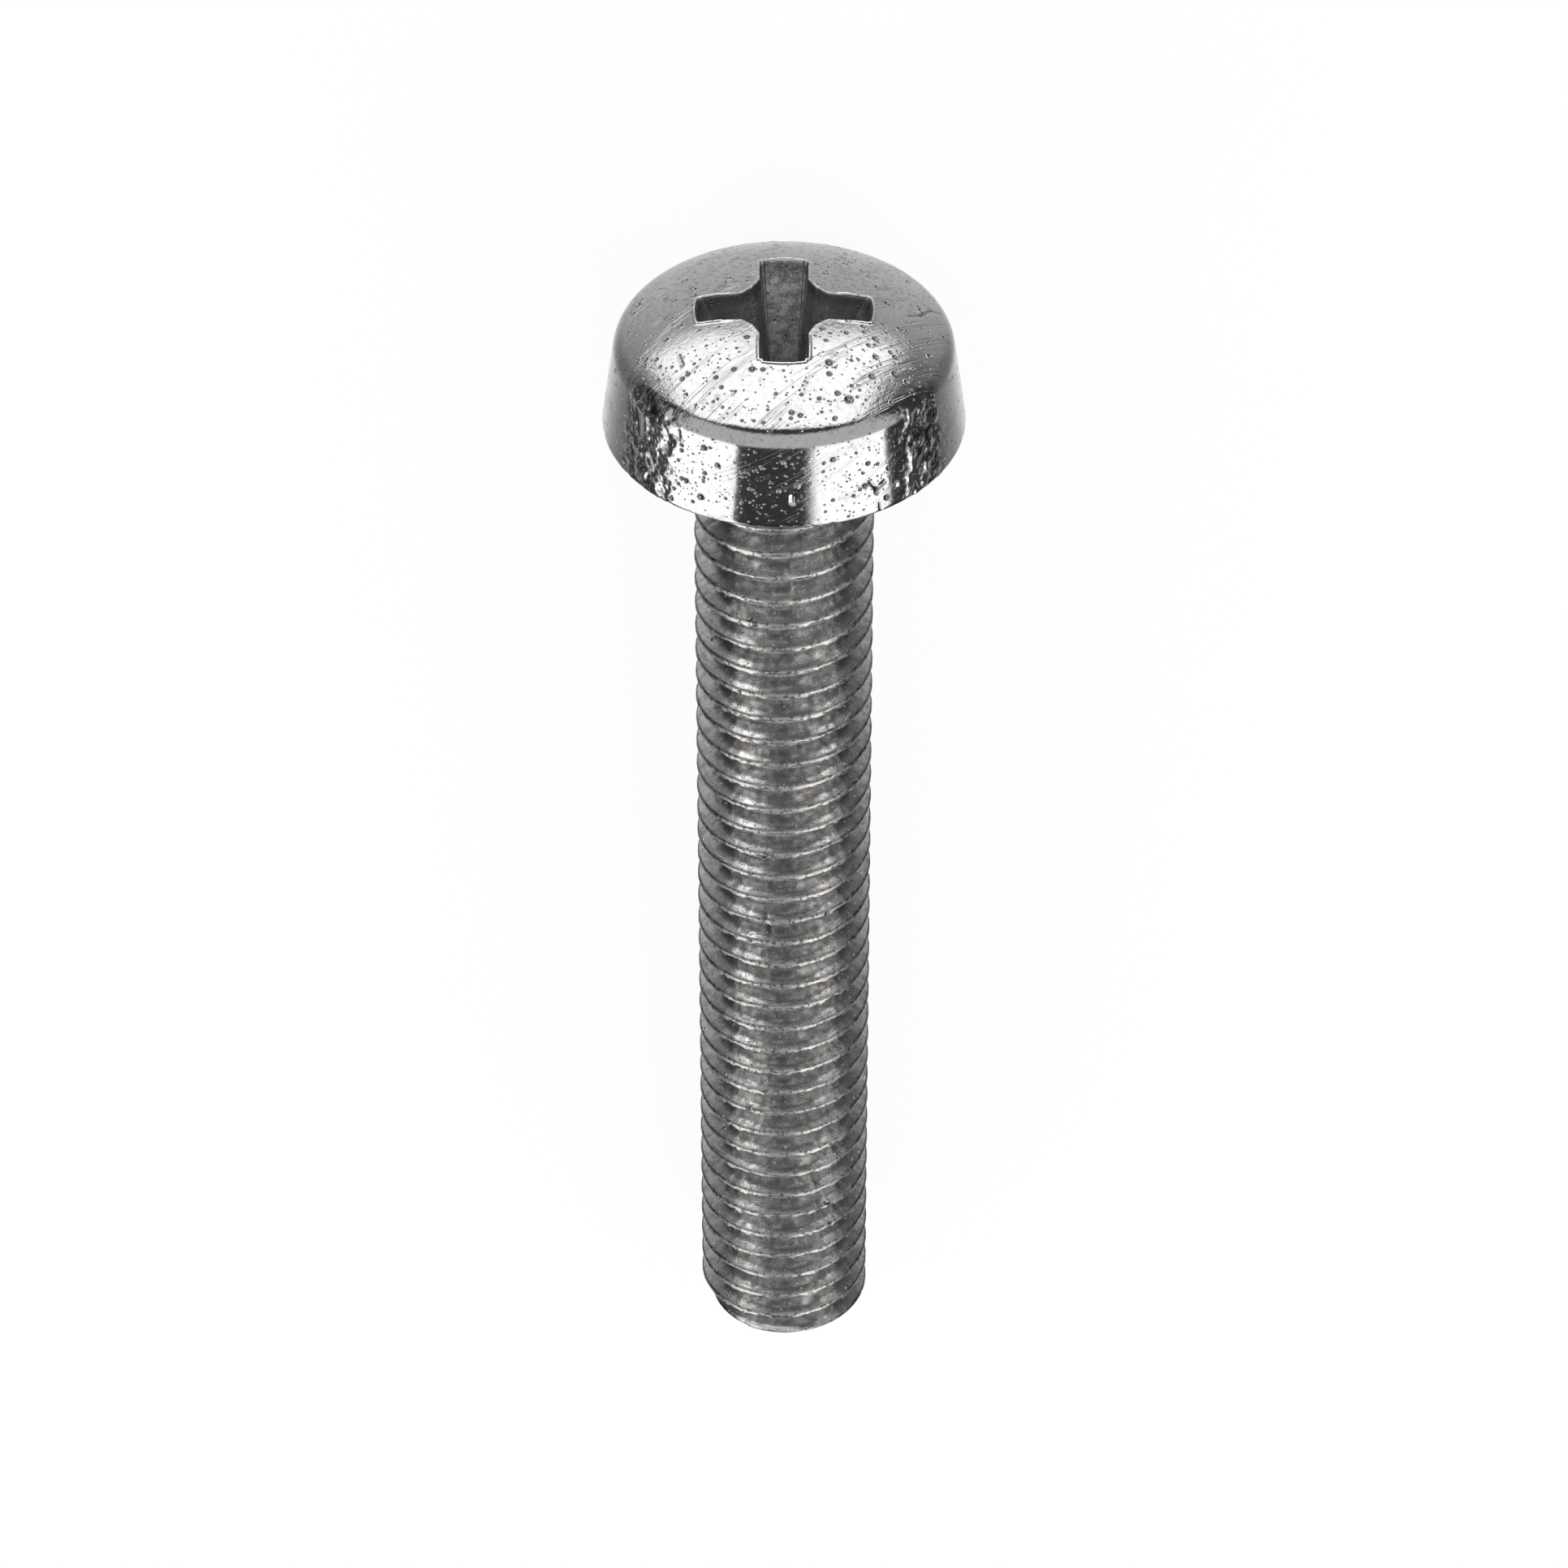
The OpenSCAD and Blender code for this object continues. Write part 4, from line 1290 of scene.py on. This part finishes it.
@dataclass
class Studio:
    """The pale floor, the soft studio light and the camera."""

    pose: ScrewPose
    groups: EffectGroups
    lens_px: float = 7824.4
    distance: float = 109.25
    view_angle: float = 39.718
    target_z: float = -7.685
    frame_shift: float = -7.0
    floor_side: float = 900.0
    dark: float = 0.07
    front_strength: float = 3.0
    floor_colour: Colour = (0.9, 0.9, 0.9, 1.0)

    def build_camera(self) -> bpy.types.Object:
        """Sets up the camera at the photograph's viewing angle.

        Returns:
            The camera.
        """
        axes = self.pose.axes()
        head, front = axes.col[2].normalized(), -axes.col[1].normalized()
        a = math.radians(self.view_angle)
        towards = head * math.sin(a) + front * math.cos(a)
        up = head * math.cos(a) - front * math.sin(a)
        target = self.pose.origin() + head * self.target_z
        data = bpy.data.cameras.new("camera")
        data.sensor_width = SENSOR
        data.lens = self.lens_px / PHOTO_SIDE * SENSOR
        data.shift_y = self.frame_shift / PHOTO_SIDE
        data.clip_start, data.clip_end = 0.005, 10.0
        camera = bpy.data.objects.new("camera", data)
        bpy.context.scene.collection.objects.link(camera)
        right = up.cross(towards)
        turn = Matrix((right, up, towards)).transposed().to_4x4()
        camera.matrix_world = Matrix.Translation((target + towards * self.distance) * MM) @ turn
        bpy.context.scene.camera = camera
        return camera

    def build_floor(self) -> bpy.types.Object:
        """Lays the pale floor, which glossy rays see as part of the world.

        Returns:
            The floor.
        """
        half = self.floor_side / 2 * MM
        mesh = bpy.data.meshes.new("floor")
        mesh.from_pydata([(-half, -half, 0), (half, -half, 0), (half, half, 0), (-half, half, 0)], [], [(0, 1, 2, 3)])
        floor = bpy.data.objects.new("floor", mesh)
        bpy.context.scene.collection.objects.link(floor)
        floor.visible_glossy = False
        mat = bpy.data.materials.new("pale_floor")
        mat.use_nodes = True
        mat.node_tree.nodes.clear()
        b = NodeBench(mat.node_tree)
        seen = b.add("ShaderNodeLightPath").outputs["Is Camera Ray"]
        matt = b.add("ShaderNodeBsdfDiffuse", {"Color": self.floor_colour}).outputs[0]
        white = b.add("ShaderNodeEmission", {"Color": (1, 1, 1, 1), "Strength": 1.0}).outputs[0]
        mixed = b.add("ShaderNodeMixShader", {0: b.math("MULTIPLY", seen, 0.93), 1: matt, 2: white}).outputs[0]
        b.add("ShaderNodeOutputMaterial", {"Surface": mixed})
        mesh.materials.append(mat)
        return floor

    def build_world(self) -> bpy.types.World:
        """Builds the soft studio light: boxes at both sides, a card above, one past the head, a pale floor below.

        Returns:
            The world.
        """
        world = bpy.data.worlds.new("studio")
        world.use_nodes = True
        world.node_tree.nodes.clear()
        b = NodeBench(world.node_tree)
        axes = self.pose.axes()
        way = b.vector("NORMALIZE", b.add("ShaderNodeTexCoord").outputs["Generated"])
        right = b.vector("DOT_PRODUCT", way, tuple(axes.col[0]))
        up = b.vector("DOT_PRODUCT", way, tuple(-axes.col[1]))
        head = b.vector("DOT_PRODUCT", way, tuple(axes.col[2]))

        def degrees(value: bpy.types.NodeSocket) -> bpy.types.NodeSocket:
            """Turns radians to degrees."""
            return b.math("DEGREES", value)

        side = degrees(b.math("ARCTAN2", right, up))
        end = degrees(b.math("ARCSINE", head))
        ahead = degrees(b.math("ARCTAN2", up, head))
        wide = degrees(b.math("ARCSINE", right))

        def window(angle: bpy.types.NodeSocket, low: float, high: float, soft_low: float, soft_high: float) -> bpy.types.NodeSocket:
            """Places the soft window on an angle."""
            return b.group(self.groups.window, {"Angle": angle, "From": low, "To": high, "Soft From": soft_low,
                                                "Soft To": soft_high}).outputs["Mask"]

        below = b.math("MULTIPLY_ADD", b.math("ABSOLUTE", right), -0.14, b.math("MULTIPLY", up, -1.0))
        ground = b.step(below, 0.08, 0.34)
        tone = b.math("MULTIPLY", b.step(head, 0.42, 0.68, 1.13, 0.55), b.step(b.math("ABSOLUTE", right), 0.3, 0.85, 0.87, 0.32))
        level = b.math("MULTIPLY_ADD", ground, b.math("SUBTRACT", tone, self.dark), self.dark)
        level = b.math("ADD", level, b.math("MULTIPLY", b.step(b.math("MULTIPLY", head, -1.0), 0.86, 0.95), 0.4))
        for patch in PATCHES:
            mask = b.math("MULTIPLY", window(side, *patch.side), window(end, *patch.end))
            level = b.math("ADD", level, b.math("MULTIPLY", mask, b.math("SUBTRACT", patch.strength, level)))
        front = b.math("MULTIPLY", window(ahead, -39.0, 7.0, 13.0, 5.0), window(wide, -30.0, 24.0, 8.0, 7.0))
        level = b.math("ADD", level, b.math("MULTIPLY", front, b.math("SUBTRACT", self.front_strength, level)))
        seen = b.add("ShaderNodeLightPath").outputs["Is Camera Ray"]
        total = b.math("ADD", b.math("MULTIPLY", level, b.math("SUBTRACT", 1.0, seen)), seen)
        light = b.add("ShaderNodeBackground", {"Color": (1.0, 0.995, 0.99, 1.0), "Strength": total})
        b.add("ShaderNodeOutputWorld", {"Surface": light.outputs[0]})
        bpy.context.scene.world = world
        return world

    def build(self) -> None:
        """Builds the whole stage."""
        self.build_camera()
        self.build_floor()
        self.build_world()
        bpy.context.scene.view_settings.view_transform = "Standard"
        LOG.info("stage: camera, floor and soft light")


def main() -> None:
    """Builds the screw's pieces and the stage."""
    logging.basicConfig(level=logging.INFO, format="%(name)s: %(message)s")
    sizes = ScrewSizes()
    pose = ScrewPose(sizes)
    groups = EffectGroups()
    dresser = SteelDresser(pose, groups)
    for part in (ScrewHead(sizes, pose), ThreadedShank(sizes, pose)):
        piece = part.build()
        part.dress(piece, dresser)
        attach(piece, "root")
        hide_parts(NODE)
    Studio(pose, groups).build()


if __name__ == "__main__":
    main()
